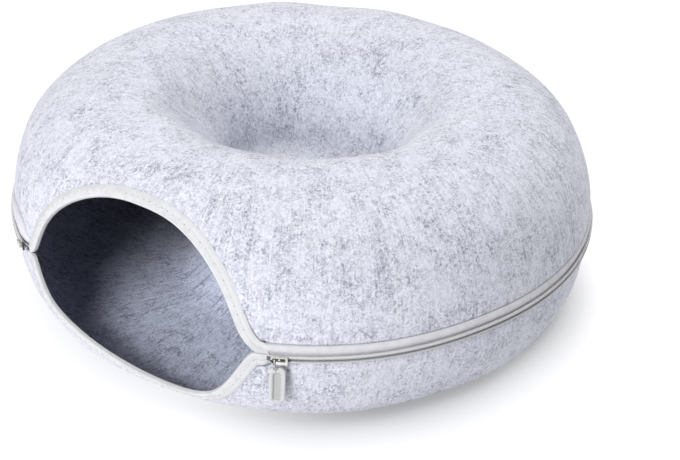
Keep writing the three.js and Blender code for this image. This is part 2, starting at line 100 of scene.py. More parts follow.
def end_fans(first, last, tip):
    """Fans that close a grid at its first and last rings, to the points number tip and tip + 1."""
    return np.concatenate([fan_faces(first[::-1], tip), fan_faces(last, tip + 1)])


def capped_grid(points, tips):
    """Points, faces and end fans of a grid closed round its columns, with a tip at each end of its rows."""
    columns, rows = points.shape[:2]
    fans = end_fans(*(np.arange(columns) * rows + k for k in (0, rows - 1)), columns * rows)
    return np.concatenate([points.reshape(-1, 3), tips]), grid_faces(columns, rows, wrap_columns=True), fans


def outward(points, quads, triangles):
    """Turns all faces round if the volume that they enclose comes out negative."""
    halves = np.concatenate([quads[:, [0, 1, 2]], quads[:, [0, 2, 3]], triangles])
    a, b, c = (points[halves[:, k]] for k in range(3))
    if np.einsum("ij,ij->i", a, np.cross(b, c)).sum() < 0:
        return quads[:, ::-1], triangles[:, ::-1]
    return quads, triangles


# %% Mesh from arrays, and soft steps
def mesh_piece(name, points, quads, triangles, uv=None, values=None):
    """A smooth-shaded object from points and faces, with an optional map and optional point values."""
    quads, triangles = outward(points, quads, triangles)
    corners = np.concatenate([quads.ravel(), triangles.ravel()]).astype(np.int32)
    sizes = np.concatenate([np.full(len(quads), 4), np.full(len(triangles), 3)])
    mesh = bpy.data.meshes.new(name)
    mesh.vertices.add(len(points))
    mesh.vertices.foreach_set("co", points.astype(np.float32).ravel())
    mesh.loops.add(len(corners))
    mesh.loops.foreach_set("vertex_index", corners)
    mesh.polygons.add(len(sizes))
    mesh.polygons.foreach_set("loop_start", (np.cumsum(sizes) - sizes).astype(np.int32))
    mesh.update(calc_edges=True)
    mesh.validate()
    mesh.shade_smooth()
    if uv is not None:
        layer = mesh.uv_layers.new(name="length_and_width")
        layer.data.foreach_set("uv", uv[corners].astype(np.float32).ravel())
    for key, value in (values or {}).items():
        mesh.attributes.new(key, "FLOAT", "POINT").data.foreach_set("value", value.astype(np.float32))
    piece = bpy.data.objects.new(name, mesh)
    bpy.context.scene.collection.objects.link(piece)
    print(f"{name}: {len(points)} points, {len(quads) * 2 + len(triangles)} triangles")
    return piece


def smooth_step(x, low=0.0, high=1.0):
    """0 at low, 1 at high, level beyond them and a soft S between; low may be the larger one."""
    x = np.clip((x - low) / (high - low), 0, 1)
    return x * x * (3 - 2 * x)


def from_middle(deg):
    """Degrees from the doorway's middle, negative on its left."""
    return (deg + 180) % 360 - 180


# %% [markdown]
# ## The section lines
# Seen in section, the ring is made of four quarter superellipses. A superellipse is an ellipse whose
# power can be more than 2, which makes it squarer, as moulded felt is. Each line is kept with its running
# length, so that any other piece can ask for the point and the outward direction at a given length.

# %% Superellipse sections
def quarter(centre, reach, roundness, count=600):
    """Points centre + reach * (cos^(2/n) t, sin^(2/n) t), with t from 0 to a quarter turn."""
    t = np.linspace(0, np.pi / 2, count)
    power = 2 / roundness
    across = np.clip(np.cos(t), 0, 1) ** power
    along = np.sin(t) ** power
    return np.stack([centre[0] + reach[0] * across, centre[1] + reach[1] * along], -1)


def crease(end, floor_z, count=12):
    """A quadratic bend from a wall's last point to a level floor."""
    t = np.linspace(0, 1, count)[1:, None]
    corner = np.array([end[0] - WELL_CREASE / 4, floor_z])
    start = corner - [WELL_CREASE, 0]
    return (1 - t) ** 2 * end + 2 * t * (1 - t) * corner + t**2 * start


class Section:
    """A section line with its running length, and its outward normals on the side given by sign."""

    def __init__(self, points, sign):
        step = np.hypot(*np.diff(points, axis=0).T)
        keep = np.concatenate([[True], step > 1e-7])
        self.points = points[keep]
        self.length = np.concatenate([[0], np.cumsum(np.hypot(*np.diff(self.points, axis=0).T))])
        tangent = np.gradient(self.points, self.length, axis=0)
        tangent /= np.hypot(*tangent.T)[:, None]
        self.normals = sign * np.stack([tangent[:, 1], -tangent[:, 0]], -1)
        self.end = self.length[-1]

    def at(self, length, over=0.0):
        """Radius and height at a length along the line, moved outwards by a distance."""
        radius, height = (np.interp(length, self.length, self.points[:, k]) for k in range(2))
        n_radius, n_height = (np.interp(length, self.length, self.normals[:, k]) for k in range(2))
        return radius + over * n_radius, height + over * n_height

    def length_at_height(self, height, upto):
        """Length at which the line first passes a height, looking at its first stretch only."""
        part = self.length <= upto
        order = np.argsort(self.points[part, 1])
        return np.interp(height, self.points[part, 1][order], self.length[part][order])


# %% The upper and the lower line, from edge to middle
UPRIGHT = 14 * MM
WALL_UPTO = {"upper": 160 * MM, "lower": 120 * MM}
outer_wall = quarter((CROWN_R, RING_Z), (RING_R - CROWN_R, TOP_Z - RING_Z), ROUNDNESS["outer"])
well_wall = quarter((CROWN_R, 0), (WELL_R - CROWN_R, TOP_Z), ROUNDNESS["well"])[::-1]
well_wall = well_wall[well_wall[:, 1] > WELL_FLOOR_Z + WELL_CREASE]
well_bend = crease(well_wall[-1], WELL_FLOOR_Z)
upper_line = Section(np.concatenate([outer_wall, well_wall, well_bend, [[0, WELL_FLOOR_Z]]]), 1)

brim = np.array([[RING_R, RING_Z + UPRIGHT]])
lower_wall = quarter((BASE_R, RING_Z), (RING_R - BASE_R, -RING_Z), ROUNDNESS["lower"])
hub_wall = quarter((HUB_BASE_R, HUB_TOP_Z), (HUB_R - HUB_BASE_R, -HUB_TOP_Z), ROUNDNESS["hub"])[::-1]
hub_wall = hub_wall[hub_wall[:, 1] < HUB_TOP_Z - WELL_CREASE]
hub_bend = crease(hub_wall[-1], HUB_TOP_Z)
lower_line = Section(np.concatenate([brim, lower_wall, hub_wall, hub_bend, [[0, HUB_TOP_Z]]]), -1)
print(f"sections: upper {upper_line.end:.3f} m, lower {lower_line.end:.3f} m from edge to middle")

# %% [markdown]
# ## The doorway's outline
# On the unrolled wall the doorway is an arch above and a dip below. Both are functions of the angle from
# the doorway's middle, negative on its left. The arch is half a superellipse that flares out at its feet.
# The dip has a floor that slopes down to the right, and a soft side on either hand. The felt is cut a
# little back from this outline, which the binding then fills. Beyond the doorway's corners the felt ends
# beside the zip, which runs a few millimetres higher round the sides and the back than at the doorway.

# %% Arch and dip as points of angle and height
def with_tails(deg, height, tail_deg, tail_z):
    """Adds a level tail to both ends of an outline, at one angle or at a left and a right one."""
    left, right = np.broadcast_to(tail_deg, 2)
    return np.concatenate([[-left], deg, [right]]), np.concatenate([[tail_z], height, [tail_z]])


def arch_points(grow, tail_deg):
    """The arch from its left tail to its right one; grow makes it larger all round."""
    t = np.linspace(-np.pi / 2, np.pi / 2, 361)
    rise = np.clip(np.cos(t), 0, 1) ** (2 / ARCH["roundness"])
    spread = np.abs(np.sin(t)) ** (2 / ARCH["roundness"])
    height = ARCH["sill"] + grow + (ARCH["top"] - ARCH["sill"]) * rise
    flare = FLARE["deg"] * np.exp((ARCH["sill"] + grow - height) / FLARE["height"])
    more = np.degrees(grow / RING_R)
    deg = FLARE["shift_deg"] + np.sign(t) * ((ARCH["half_deg"] + more) * spread + flare)
    return with_tails(deg, height, np.add(tail_deg, more), ARCH["sill"] + grow - SLIT_DROP)


def dip_points(grow, tail_deg):
    """The dip from its left tail to its right one: sloping floor + soft rise to the brim on either side."""
    deg = np.linspace(-DIP["side_deg"], DIP["side_deg"], 161)
    start, ease = (np.where(deg > 0, *DIP_RISE[key]) for key in ("start_deg", "ease"))
    share = np.clip((np.abs(deg) - start) / (DIP["side_deg"] - start), 0, 1)
    floor = DIP["floor"] - DIP["fall_per_deg"] * deg
    height = floor + (DIP["brim"] - floor) * smooth_step(share**ease) - grow
    more = np.degrees(grow / RING_R)
    deg = deg * (1 + more / DIP["side_deg"])
    return with_tails(deg, height, np.add(tail_deg, more), DIP["brim"] - grow - SLIT_DROP)


print(f"doorway: {2 * RING_R * np.sin(np.radians(ARCH['half_deg'])):.3f} m wide")


# %% Where the felt starts, and paths along the doorway
CORNER_FADE_DEG = 0.9


def zip_rise(deg):
    """Lift of the zip above its height at the doorway: a soft step between two angles on either side."""
    return ZIP_RISE["height"] * smooth_step(np.abs(deg), ZIP_RISE["from_deg"], ZIP_RISE["to_deg"])


def left_band(deg):
    """1 just left of the doorway, where the zip's band is at its widest, falling to 0 on both sides."""
    return smooth_step(-deg, *LEFT_BAND["rise_deg"]) * (1 - smooth_step(-deg, *LEFT_BAND["fall_deg"]))


def felt_start(line, outline, upto, edge_z, corner, lift, deg):
    """Length along the section where the felt starts: the doorway's outline, or the zip's edge."""
    beside = np.abs(deg) - TAIL_DEG
    rounded = corner * np.exp(-np.clip(beside, 0, None) / CORNER_FADE_DEG)
    zip_edge = edge_z + zip_rise(deg) + lift * left_band(deg) + rounded
    height = np.where(beside < 0, np.interp(deg, *outline), zip_edge)
    return line.length_at_height(height, upto)


def even_path(points, step):
    """Points at even distances along a polyline, with unit tangents and running length."""
    length = np.concatenate([[0], np.cumsum(np.hypot(*np.diff(points, axis=0).T))])
    run = np.linspace(0, length[-1], int(round(length[-1] / step)) + 1)
    even = np.stack([np.interp(run, length, points[:, k]) for k in range(2)], -1)
    tangent = np.gradient(even, run, axis=0)
    return even, tangent / np.hypot(*tangent.T)[:, None], run


def softened(points, times):
    """Rounds a path's corners: each point becomes the mean of itself and its neighbours, ends kept."""
    for _ in range(times):
        inner = (points[:-2] + 2 * points[1:-1] + points[2:]) / 4
        points = np.concatenate([points[:1], inner, points[-1:]])
    return points


def door_path(line, outline, upto, step):
    """The outline from left tail to right, as arc length round the ring and along the section."""
    deg, height = outline
    flat = np.stack([np.radians(deg) * RING_R, line.length_at_height(height, upto)], -1)
    return even_path(softened(even_path(flat, step)[0], 4), step)


# %% [markdown]
# ## Camera
# The photograph looks down on the ring from its right front. The camera was fitted to the outlines of
# the ring: its height angle, its distance, a focal length in pixels, a small roll, and the picture point
# where the ring's axis meets the floor. The last one turns the camera a little away from the axis, so no
# lens shift is needed.

# %% Camera from the fitted view
VIEW = {"azimuth": 33.5, "elevation": 32.684, "distance": 1.24415, "focal_px": 1364.17, "roll": 1.977}
PICTURE = (680, 460)
AXIS_FOOT_PX = (301.6, 263.72)
SENSOR_MM = 36


def fitted_camera():
    """Stands on a sphere round the axis' foot, looks at it, rolls, then turns the foot to its pixel."""
    azimuth, elevation, roll = (np.radians(VIEW[k]) for k in ("azimuth", "elevation", "roll"))
    level = Vector((np.sin(azimuth), -np.cos(azimuth), 0))
    back = level * np.cos(elevation) + Vector((0, 0, np.sin(elevation)))
    right = Vector((0, 0, 1)).cross(back).normalized()
    axes = Matrix((right, back.cross(right), back))
    spin = Matrix.Rotation(-roll, 3, "Z")
    offset = [(AXIS_FOOT_PX[k] - PICTURE[k] / 2) / VIEW["focal_px"] for k in range(2)]
    turn = Vector((0, 0, -1)).rotation_difference(Vector((offset[0], -offset[1], -1))).to_matrix()
    to_camera = turn @ spin @ axes
    data = bpy.data.cameras.new("photo_camera")
    data.sensor_width = SENSOR_MM
    data.lens = VIEW["focal_px"] * SENSOR_MM / PICTURE[0]
    camera = bpy.data.objects.new("photo_camera", data)
    place = Vector((0, AXIS_Y, 0)) + back * VIEW["distance"]
    camera.matrix_world = Matrix.Translation(place) @ to_camera.transposed().to_4x4()
    bpy.context.scene.collection.objects.link(camera)
    bpy.context.scene.camera = camera
    return camera


camera = fitted_camera()
print(f"camera at {tuple(round(x, 3) for x in camera.location)}, lens {camera.data.lens:.1f} mm")

# %% [markdown]
# ## Building blocks of the finishes
# Materials are networks of nodes. A network is easier to read as arithmetic, so a small class stands for
# one output of a node: adding, taking away, multiplying or dividing it adds a Math node to the same tree.
# Short functions add the other nodes that the finishes need. What several finishes share becomes a node
# group with named sockets.

# %% Nodes that read like arithmetic
class Wire:
    """One output of a node; each sign of arithmetic on it adds a Math node and gives its output."""

    def __init__(self, node, output=0):
        self.socket, self.tree = node.outputs[output], node.id_data

    def __add__(self, other):
        return calc("ADD", self, other)

    def __sub__(self, other):
        return calc("SUBTRACT", self, other)

    def __rsub__(self, other):
        return calc("SUBTRACT", other, self)

    def __mul__(self, other):
        return calc("MULTIPLY", self, other)

    def __truediv__(self, other):
        return calc("DIVIDE", self, other)


def fill(node, inputs):
    """Fills a node's inputs: a wire is linked, a number or a colour becomes the input's own value."""
    for key, value in inputs.items():
        if isinstance(value, Wire):
            node.id_data.links.new(value.socket, node.inputs[key])
        else:
            node.inputs[key].default_value = value


def add_node(tree, kind, inputs=None, **settings):
    """Adds a node with its settings and fills its inputs."""
    node = tree.nodes.new(kind)
    for key, value in settings.items():
        setattr(node, key, value)
    fill(node, inputs or {})
    return node


def calc(operation, a, b=0.0, clamp=False):
    """One arithmetic step between wires and numbers."""
    tree = a.tree if isinstance(a, Wire) else b.tree
    return Wire(add_node(tree, "ShaderNodeMath", {0: a, 1: b}, operation=operation, use_clamp=clamp))


def clamped(value):
    """The value, kept between 0 and 1."""
    return calc("ADD", value, 0.0, clamp=True)


# %% Coordinates, patterns and colours
def coordinates(tree, kind):
    """The object's own coordinates, or its map."""
    return Wire(add_node(tree, "ShaderNodeTexCoord"), kind)


def split(vector):
    """The three parts of a vector."""
    node = add_node(vector.tree, "ShaderNodeSeparateXYZ", {0: vector})
    return [Wire(node, k) for k in "XYZ"]


def ring_place(place):
    """X and Y from the ring's axis, the height, and the distance from the axis."""
    x, y, z = split(place)
    y = y - AXIS_Y
    return x, y, z, calc("SQRT", x * x + y * y)


def mark(tree, name):
    """A value that the mesh carries at its points."""
    return Wire(add_node(tree, "ShaderNodeAttribute", attribute_name=name), "Fac")


def noise(place, scale, detail=2.0, distortion=0.0):
    """Smooth noise between about 0.25 and 0.75."""
    inputs = {"Vector": place, "Scale": scale, "Detail": detail, "Distortion": distortion}
    return Wire(add_node(place.tree, "ShaderNodeTexNoise", inputs), "Fac")


def ramp(value, low, high):
    """0 at low, 1 at high, with a soft S between; low may be the larger one."""
    inputs = {"Value": value, "From Min": low, "From Max": high}
    return Wire(add_node(value.tree, "ShaderNodeMapRange", inputs, interpolation_type="SMOOTHSTEP"), "Result")


def ridge(value):
    """1 where noise crosses its middle, falling to 0 beside it: a line drawing of the noise."""
    return calc("SUBTRACT", 1.0, calc("ABSOLUTE", (value - 0.5) * 4.0), clamp=True)


def mix(share, first, second, blend="MIX"):
    """Blends two colours, each a wire or red, green and blue, by a share."""
    ends = {k: end if isinstance(end, Wire) else (*end, 1) for k, end in ((6, first), (7, second))}
    node = add_node(share.tree, "ShaderNodeMix", {0: share, **ends}, data_type="RGBA", blend_type=blend)
    return Wire(node, 2)


def bumped(height, strength, distance):
    """A normal tilted by the slopes of a height."""
    inputs = {"Height": height, "Strength": strength, "Distance": distance}
    return Wire(add_node(height.tree, "ShaderNodeBump", inputs))


# %% Groups and materials
def new_group(name, inputs, outputs):
    """An empty group: an input is a vector where its start is None, else a number; outputs are numbers."""
    group = bpy.data.node_groups.new(name, "ShaderNodeTree")
    for label, start in inputs.items():
        kind = "NodeSocketVector" if start is None else "NodeSocketFloat"
        socket = group.interface.new_socket(label, in_out="INPUT", socket_type=kind)
        if start is not None:
            socket.default_value = start
    for label in outputs:
        group.interface.new_socket(label, in_out="OUTPUT", socket_type="NodeSocketFloat")
    given = add_node(group, "NodeGroupInput")
    return group, [Wire(given, label) for label in inputs], add_node(group, "NodeGroupOutput")


def place_group(tree, group, inputs):
    """Puts a group into a material and gives its outputs."""
    node = add_node(tree, "ShaderNodeGroup", inputs, node_tree=group)
    return [Wire(node, output.name) for output in node.outputs]


def finish_material(name):
    """A material with its node tree and its shader, ready for its finish."""
    material = bpy.data.materials.new(name)
    material.use_nodes = True
    return material, material.node_tree, material.node_tree.nodes["Principled BSDF"]


def feed(shader, **inputs):
    """Fills the shader's sockets; spaces in their names are written as underscores."""
    fill(shader, {key.replace("_", " "): value for key, value in inputs.items()})


# %% [markdown]
# ## Floor and light
# The studio is a white sweep under soft light. The strongest lamp stands low on the left of the camera and
# shines into the doorway. A weak one hangs over it, two stand on the right, and one hangs high behind. The
# sweep itself glows, as a back-lit table does, which keeps the floor white. It glows less where the ring
# stands close over it, which an ambient-occlusion node finds, and least on the ring's right, which lies
# away from the strongest lamp. That makes the contact shadow.

# %% Glowing sweep
GLOW, FLOOR_HALF = 0.96, 14.0
SHADOW = {"reach": 70 * MM, "sky": (0.8, 0.23), "fade": 1.6, "most": 0.85}
SHADOW_SHARE = {"all_round": 0.17, "right": 0.46, "right_behind": 0.5}


def sweep_material():
    """White that glows, less where the object stands close over it, and least on its shaded right side."""
    material, tree, shader = finish_material("white_sweep")
    x, y, _ = split(coordinates(tree, "Object"))
    away = calc("SQRT", x * x + y * y)
    right, behind = ramp(x / away, 0.09, 0.85), ramp(y / away, -0.2, 0.5)
    extra = behind * SHADOW_SHARE["right_behind"] + SHADOW_SHARE["right"]
    share = right * extra + SHADOW_SHARE["all_round"]
    sky = Wire(add_node(tree, "ShaderNodeAmbientOcclusion", {"Distance": SHADOW["reach"]}), "AO")
    span = dict(zip(("From Min", "From Max"), SHADOW["sky"]))
    covered = Wire(add_node(tree, "ShaderNodeMapRange", {"Value": sky, **span}))
    shade = calc("MINIMUM", calc("POWER", covered, SHADOW["fade"]) * share, SHADOW["most"])
    feed(shader, Base_Color=(0.095, 0.098, 0.125, 1), Roughness=0.9, Specular_IOR_Level=0.1)
    feed(shader, Emission_Color=(1.0 - shade) * GLOW, Emission_Strength=1)
    return material


def studio_floor():
    """A square grid of four faces at the height of the floor."""
    side = np.linspace(-FLOOR_HALF, FLOOR_HALF, 3)
    x, y = np.meshgrid(side, side, indexing="ij")
    points = np.stack([x, y, 0 * x], -1).reshape(-1, 3)
    mesh = bpy.data.meshes.new("studio_floor")
    mesh.from_pydata(points.tolist(), [], grid_faces(3, 3).tolist())
    floor = bpy.data.objects.new("studio_floor", mesh)
    bpy.context.scene.collection.objects.link(floor)
    mesh.materials.append(sweep_material())


studio_floor()
print(f"sweep: {2 * FLOOR_HALF:.0f} m square")

# %% Lamps and surroundings
LAMP_SIZE, LAMP_DISTANCE = 0.9, 2.2
LAMPS = (
    # name, degrees round from the camera (right is more), degrees up, watts
    ("key_lamp", -33, 27, 40.5),
    ("high_lamp", -45, 42, 11.5),
    ("right_lamp", 90, 42, 14.4),
    ("rim_lamp", 135, 35, 14.9),
    ("back_lamp", 180, 60, 22.0),
)
ROOM_COLOUR, ROOM_STRENGTH = (0.97, 0.98, 1.0, 1), 0.004


def soft_lamp(name, turn_deg, rise_deg, watts):
    """A square lamp aimed at the ring."""
    turn, rise = np.radians(VIEW["azimuth"] + turn_deg), np.radians(rise_deg)
    way = Vector((np.sin(turn) * np.cos(rise), -np.cos(turn) * np.cos(rise), np.sin(rise)))
    data = bpy.data.lights.new(name, "AREA")
    data.size = LAMP_SIZE
    data.energy = watts
    lamp = bpy.data.objects.new(name, data)
    lamp.location = way * LAMP_DISTANCE
    aim = Vector((0, 0, TOP_Z / 2)) - lamp.location
    lamp.rotation_euler = aim.to_track_quat("-Z", "Y").to_euler()
    bpy.context.scene.collection.objects.link(lamp)


for lamp_row in LAMPS:
    soft_lamp(*lamp_row)
world = bpy.data.worlds.new("white_room")
world.use_nodes = True
fill(world.node_tree.nodes["Background"], {"Color": ROOM_COLOUR, "Strength": ROOM_STRENGTH})
bpy.context.scene.world = world
bpy.context.scene.view_settings.view_transform = "Standard"
print(f"studio: {len(LAMPS)} lamps")

# %% [markdown]
# ## Felt
# Needle felt is a mat of short fibres. This one is a marl: most fibres are nearly white, some are slate
# grey, and the grey ones gather in clouds. Moulding pulls the fibres along the section, so on the walls
# they lie mostly up and down and on the floor inside they fan out from the hub. Thin lines come from the
# ridges of smooth noise. The streaks read the direction from the axis and the distance along the section
# instead of the plain coordinates, which lays them along the section with no seam.

# %% Felt marl as a node group
def felt_group():
    """Marl of pale and dark fibres, and the height of the nap."""
    inputs = {"Coordinates": None, "Streaks": 1.0}
    tree, (place, pull), result = new_group("felt_marl", inputs, ("Dark", "Height"))
    cloud = ramp(noise(place, 33.0, 3.0), 0.36, 0.66)
    patch = ramp(noise(place, 75.0), 0.36, 0.68)
    fleck = ramp(noise(place, 430.0, 2.0, 0.8), 0.48, 0.72)
    hair = ramp(ridge(noise(place, 190.0, 1.0, 1.4)), 0.70, 1.0)
    tuft, grain = noise(place, 230.0, 2.0, 0.6), noise(place, 720.0, 1.0)

    x, y, z, away = ring_place(place)
    away = calc("MAXIMUM", away, 30 * MM)
    turned = {"X": x / away, "Y": y / away, "Z": away * 0.9 + z * 0.7}
    flow = Wire(add_node(tree, "ShaderNodeCombineXYZ", turned))
    stroke = ramp(noise(flow, 115.0, 2.0, 0.6), 0.48, 0.72)
    drawn = ramp(ridge(noise(flow, 58.0, 2.0, 0.5)), 0.55, 1.0)

    streaks = (stroke * 0.26 + drawn * 0.18) * pull
    amount = cloud * 0.36 + 0.40 + patch * 0.44
    lines = fleck * 0.55 + hair * 0.46 + streaks
    speck = (tuft - 0.5) * 0.68 + (grain - 0.5) * 0.66
    dark = clamped(lines * amount + speck + 0.06)
    fill(result, {"Dark": dark, "Height": grain * 0.6 - fleck * 0.35 - streaks * 0.5})
    return tree


# %% [markdown]
# The material mixes the two fibre colours by the marl. Values that the mesh carries at its points say
# where the felt faces inwards, where it lies beside the doorway's seam or the zip, and where it is pleated.
# Inside, painted shade tints the felt bluer low down and darkens it towards the roof. A pressed groove
# follows the binding and holds a painted shadow, darkest at the right corner; painted shade also lies in a
# thin line under the zip's edge and in the pleats. The floor of the hollow in the top is painted a little
# lighter, and the foot of its wall a little darker with painted shade and more streaked.

# %% Felt material
FELT_PALE, FELT_SLATE, FELT_SHADE = (0.66, 0.675, 0.75), (0.235, 0.245, 0.305), (0.05, 0.05, 0.06)
# Painted shade inside the ring: bluer low down, much darker under the roof.
INSIDE_SHADE_TINT, ROOF_SHADE_TINT = (0.99, 1.03, 1.15), (0.29, 0.275, 0.225)


def hollow_masks(z, away, inside):
    """1 on the floor of the hollow in the top, and 1 at the foot of its wall, fading upwards."""
    hollow = (1.0 - inside) * ramp(z, 84 * MM, 87 * MM) * ramp(away, 110 * MM, 88 * MM)
    level = ramp(away, 73 * MM, 65 * MM)
    return hollow * level, hollow * ramp(z, 124 * MM, 96 * MM) * (1.0 - level)


def felt_material(group):
    """Mixes the pale and slate fibres by the marl, with painted light and shade, a soft sheen and a raised
    nap.
    """
    material, tree, shader = finish_material("marled_felt")
    place = coordinates(tree, "Object")
    x, _, z, away = ring_place(place)
    names = ("inside", "beside_door", "beside_zip", "pleat")
    inside, beside_seam, beside_zip, pleat = (mark(tree, name) for name in names)
    floor, foot = hollow_masks(z, away, inside)
    dark, nap = place_group(tree, group, {"Coordinates": place, "Streaks": inside + 1.0 + foot * 0.8})
    # Painted shade on the inner faces, darker towards the roof.
    inside_shade = mix(ramp(z, 70 * MM, 125 * MM), INSIDE_SHADE_TINT, ROOF_SHADE_TINT)
    fibres = mix(inside, mix(dark, FELT_PALE, FELT_SLATE), inside_shade, "MULTIPLY")
    # Painted light on the floor of the hollow in the top, and painted shade at the foot of its wall.
    bright = floor * 0.10 + 1.0 - foot * 0.02
    lit = Wire(add_node(tree, "ShaderNodeVectorMath", {0: fibres, "Scale": bright}, operation="SCALE"))

    # A dent beside the binding's edge with a painted shadow in it, darkest at the right corner.
    groove_and_shade = ramp(beside_seam, 9.0 * MM, 10.0 * MM) - ramp(beside_seam, 10.4 * MM, 12.0 * MM)
    corner = (ramp(z, 58 * MM, 72 * MM) - ramp(z, 96 * MM, 122 * MM)) * ramp(x, 40 * MM, 100 * MM)
    # Painted shade in a thin line under the felt's edge at the zip.
    zip_edge_shade = (1.0 - ramp(beside_zip, 0.8 * MM, 2.2 * MM)) * 0.5
    # Painted shade in the pleats, deeper pleats darker.
    shade = clamped(groove_and_shade * (corner * 0.65 + 0.1) + zip_edge_shade + pleat * 0.6)
    feed(shader, Base_Color=mix(shade, lit, FELT_SHADE), Normal=bumped(nap - groove_and_shade, 0.35, 0.8 * MM))
    feed(shader, Roughness=0.95, Specular_IOR_Level=0.15, Sheen_Weight=0.25, Sheen_Roughness=0.6)
    return material


felt = felt_material(felt_group())
print("felt: marl group and material")

# %% [markdown]
# ## The felt shells
# Each shell is one sheet of 2.5 mm felt. Its rows run from the middle of its inside, out to the cut edge,
# round that edge, and back over its outside to the middle, so the sheet is one closed surface with real
# thickness. The cut edge is half round. A few soft waves make the felt as uneven as hand-pulled felt is,
# and fade out where it is sewn.

# %% Columns, waves and the distance from the doorway
def column_angles():
    """Angles of the columns in degrees: close together at the doorway's sides, even elsewhere."""
    right = np.concatenate([np.arange(0.0, 12.0, 0.8), np.arange(12.0, 30.0, 0.4)])
    return np.concatenate([right, np.linspace(30.0, 330.0, 336), 360 - right[:0:-1]])


from_door = from_middle(column_angles())


def soft_waves(angle, along, count, seed):
    """Sum of sines over the turn and the length, with seeded turns, waves and phases, about 1 high."""
    draw = np.random.default_rng(seed)
    turns = draw.integers(3, 17, count)[:, None, None]
    waves = draw.uniform(-70, 70, count)[:, None, None]
    phase = draw.uniform(0, 2 * np.pi, count)[:, None, None]
    return np.sin(turns * angle + waves * along + phase).sum(0) / np.sqrt(count)


def beside_door(along, outline):
    """Distance on the unrolled wall from each point to the doorway's outline, or 1 m far away from it."""
    across = np.radians(from_door)[:, None] * RING_R + 0 * along
    near = (np.abs(across) < 160 * MM) & (along < 200 * MM)
    away = np.ones(along.shape)
    gaps = np.stack([across[near], along[near]], -1)[:, None] - outline[None]
    away[near] = np.sqrt((gaps**2).sum(-1).min(1))
    return away


print(f"felt columns: {len(from_door)}")


# %% Felt sheet function
SEWN_FADE, MIDDLE_FADE = 45 * MM, 60 * MM


def felt_sheet(name, line, start, outline, join, rows_out, rows_in, lift, upper):
    """Closed sheet: point(angle, row) = line at its length, moved out by the lift less the row's depth."""
    angle = np.radians(column_angles())[:, None]
    first = (start + FELT / 2)[:, None]

    def side(wall_rows, floor_rows):
        wall = first + (join - first) * np.linspace(0, 1, wall_rows)
        floor = np.linspace(join, line.end, floor_rows + 2)[1:-1]
        return np.concatenate([wall, np.broadcast_to(floor, (len(angle), floor_rows))], 1)

    outside, inside = side(*rows_out), side(*rows_in)[:, ::-1]
    turn = np.linspace(0, np.pi, 9)[1:-1]
    rim = start[:, None] + FELT / 2 * (1 - np.sin(turn))
    along = np.concatenate([inside, rim, outside], 1)
    rim_depth = FELT / 2 * (1 + np.cos(turn))
    depth = np.concatenate([np.full(inside.shape[1], FELT), rim_depth, np.zeros(outside.shape[1])])
    from_edge = along - start[:, None]
    rise, pleats = lift(angle, along, depth)
    over = rise * smooth_step(from_edge / SEWN_FADE) * smooth_step((line.end - along) / MIDDLE_FADE) - depth
    tips = np.array([[0, AXIS_Y, line.points[-1, 1] + line.normals[-1, 1] * d] for d in (-FELT, 0)])
    sewn_here = (np.abs(from_door) > TAIL_DEG)[:, None] & upper
    marks = {
        "inside": np.concatenate([np.tile(depth / FELT, len(angle)), [1, 0]]),
        "beside_door": np.concatenate([beside_door(along, outline).ravel(), [1, 1]]),
        "beside_zip": np.concatenate([np.where(sewn_here, from_edge, 1.0).ravel(), [1, 1]]),
        "pleat": np.concatenate([pleats.ravel(), [0, 0]]),
    }
    return mesh_piece(name, *capped_grid(around(*line.at(along, over), angle), tips), values=marks)


# %% [markdown]
# The hub's foot, just inside the doorway, shows small radial pleats where the felt was gathered in the
# mould. Each is a soft trough: a bell curve across, placed by its angle, and a longer bell along the
# section, placed by its radius. The ones that show in the doorway are listed in a short table; the
# rest of the ring gets seeded ones of the same size.

# %% Pleats at the hub's foot
PLEATS = (
    # deg, radius mm, half length mm, half width mm, depth mm
    (-26.2, 99, 13, 1.1, 2.0),
    (-9.6, 99, 7, 1.1, 1.5),
    (-38.6, 97, 9, 1.1, 1.0),
    (-34.0, 96, 7, 1.0, 0.7),
    (-50.6, 124, 5, 1.1, 1.4),
    (-73.0, 113, 6, 1.2, 0.9),
    (-63.0, 110, 7, 1.2, 0.8),
    (-29.5, 127, 5, 1.1, 1.0),
    (-6.4, 150, 8, 1.2, 0.6),
    (4.0, 112, 9, 1.3, 0.6),
)
PLEAT_RANGES = ((96, 122), (6, 12), (1.3, 1.8), (0.3, 0.8))  # radius, half length, half width, depth in mm


def pleat_table():
    """The listed pleats, and seeded ones round the rest of the ring."""
    draw = np.random.default_rng(12)
    deg = np.arange(16.0, 284.0, 8.5)
    columns = [deg + draw.uniform(-3, 3, len(deg))] + [draw.uniform(*span, len(deg)) for span in PLEAT_RANGES]
    return np.concatenate([np.array(PLEATS), np.stack(columns, -1)])


def pleat_lift(angle, radius):
    """Sum of troughs: -depth * exp(-(across / half width)^2) * exp(-(along / half length)^2)."""
    deg, middle, half_length, half_width, depth = (column[:, None, None] for column in pleat_table().T)
    turn = (angle - np.radians(deg) + np.pi) % (2 * np.pi) - np.pi
    across = turn * radius / (half_width * MM)
    along = (radius - middle * MM) / (half_length * MM)
    return -(depth * MM * np.exp(-(across**2)) * np.exp(-(along**2))).sum(0)


print(f"pleats: {len(PLEATS)} by hand, {len(pleat_table()) - len(PLEATS)} seeded")


# %% Upper and lower felt
WAVES, WAVE_COUNT = 0.7 * MM, 26
EDGE_GROW, PATH_STEP = 1.1 * MM, 1.5 * MM


def upper_lift(angle, along, depth):
    """Waves over the whole shell, and no pleats."""
    return WAVES * soft_waves(angle, along, WAVE_COUNT, 3), 0 * along


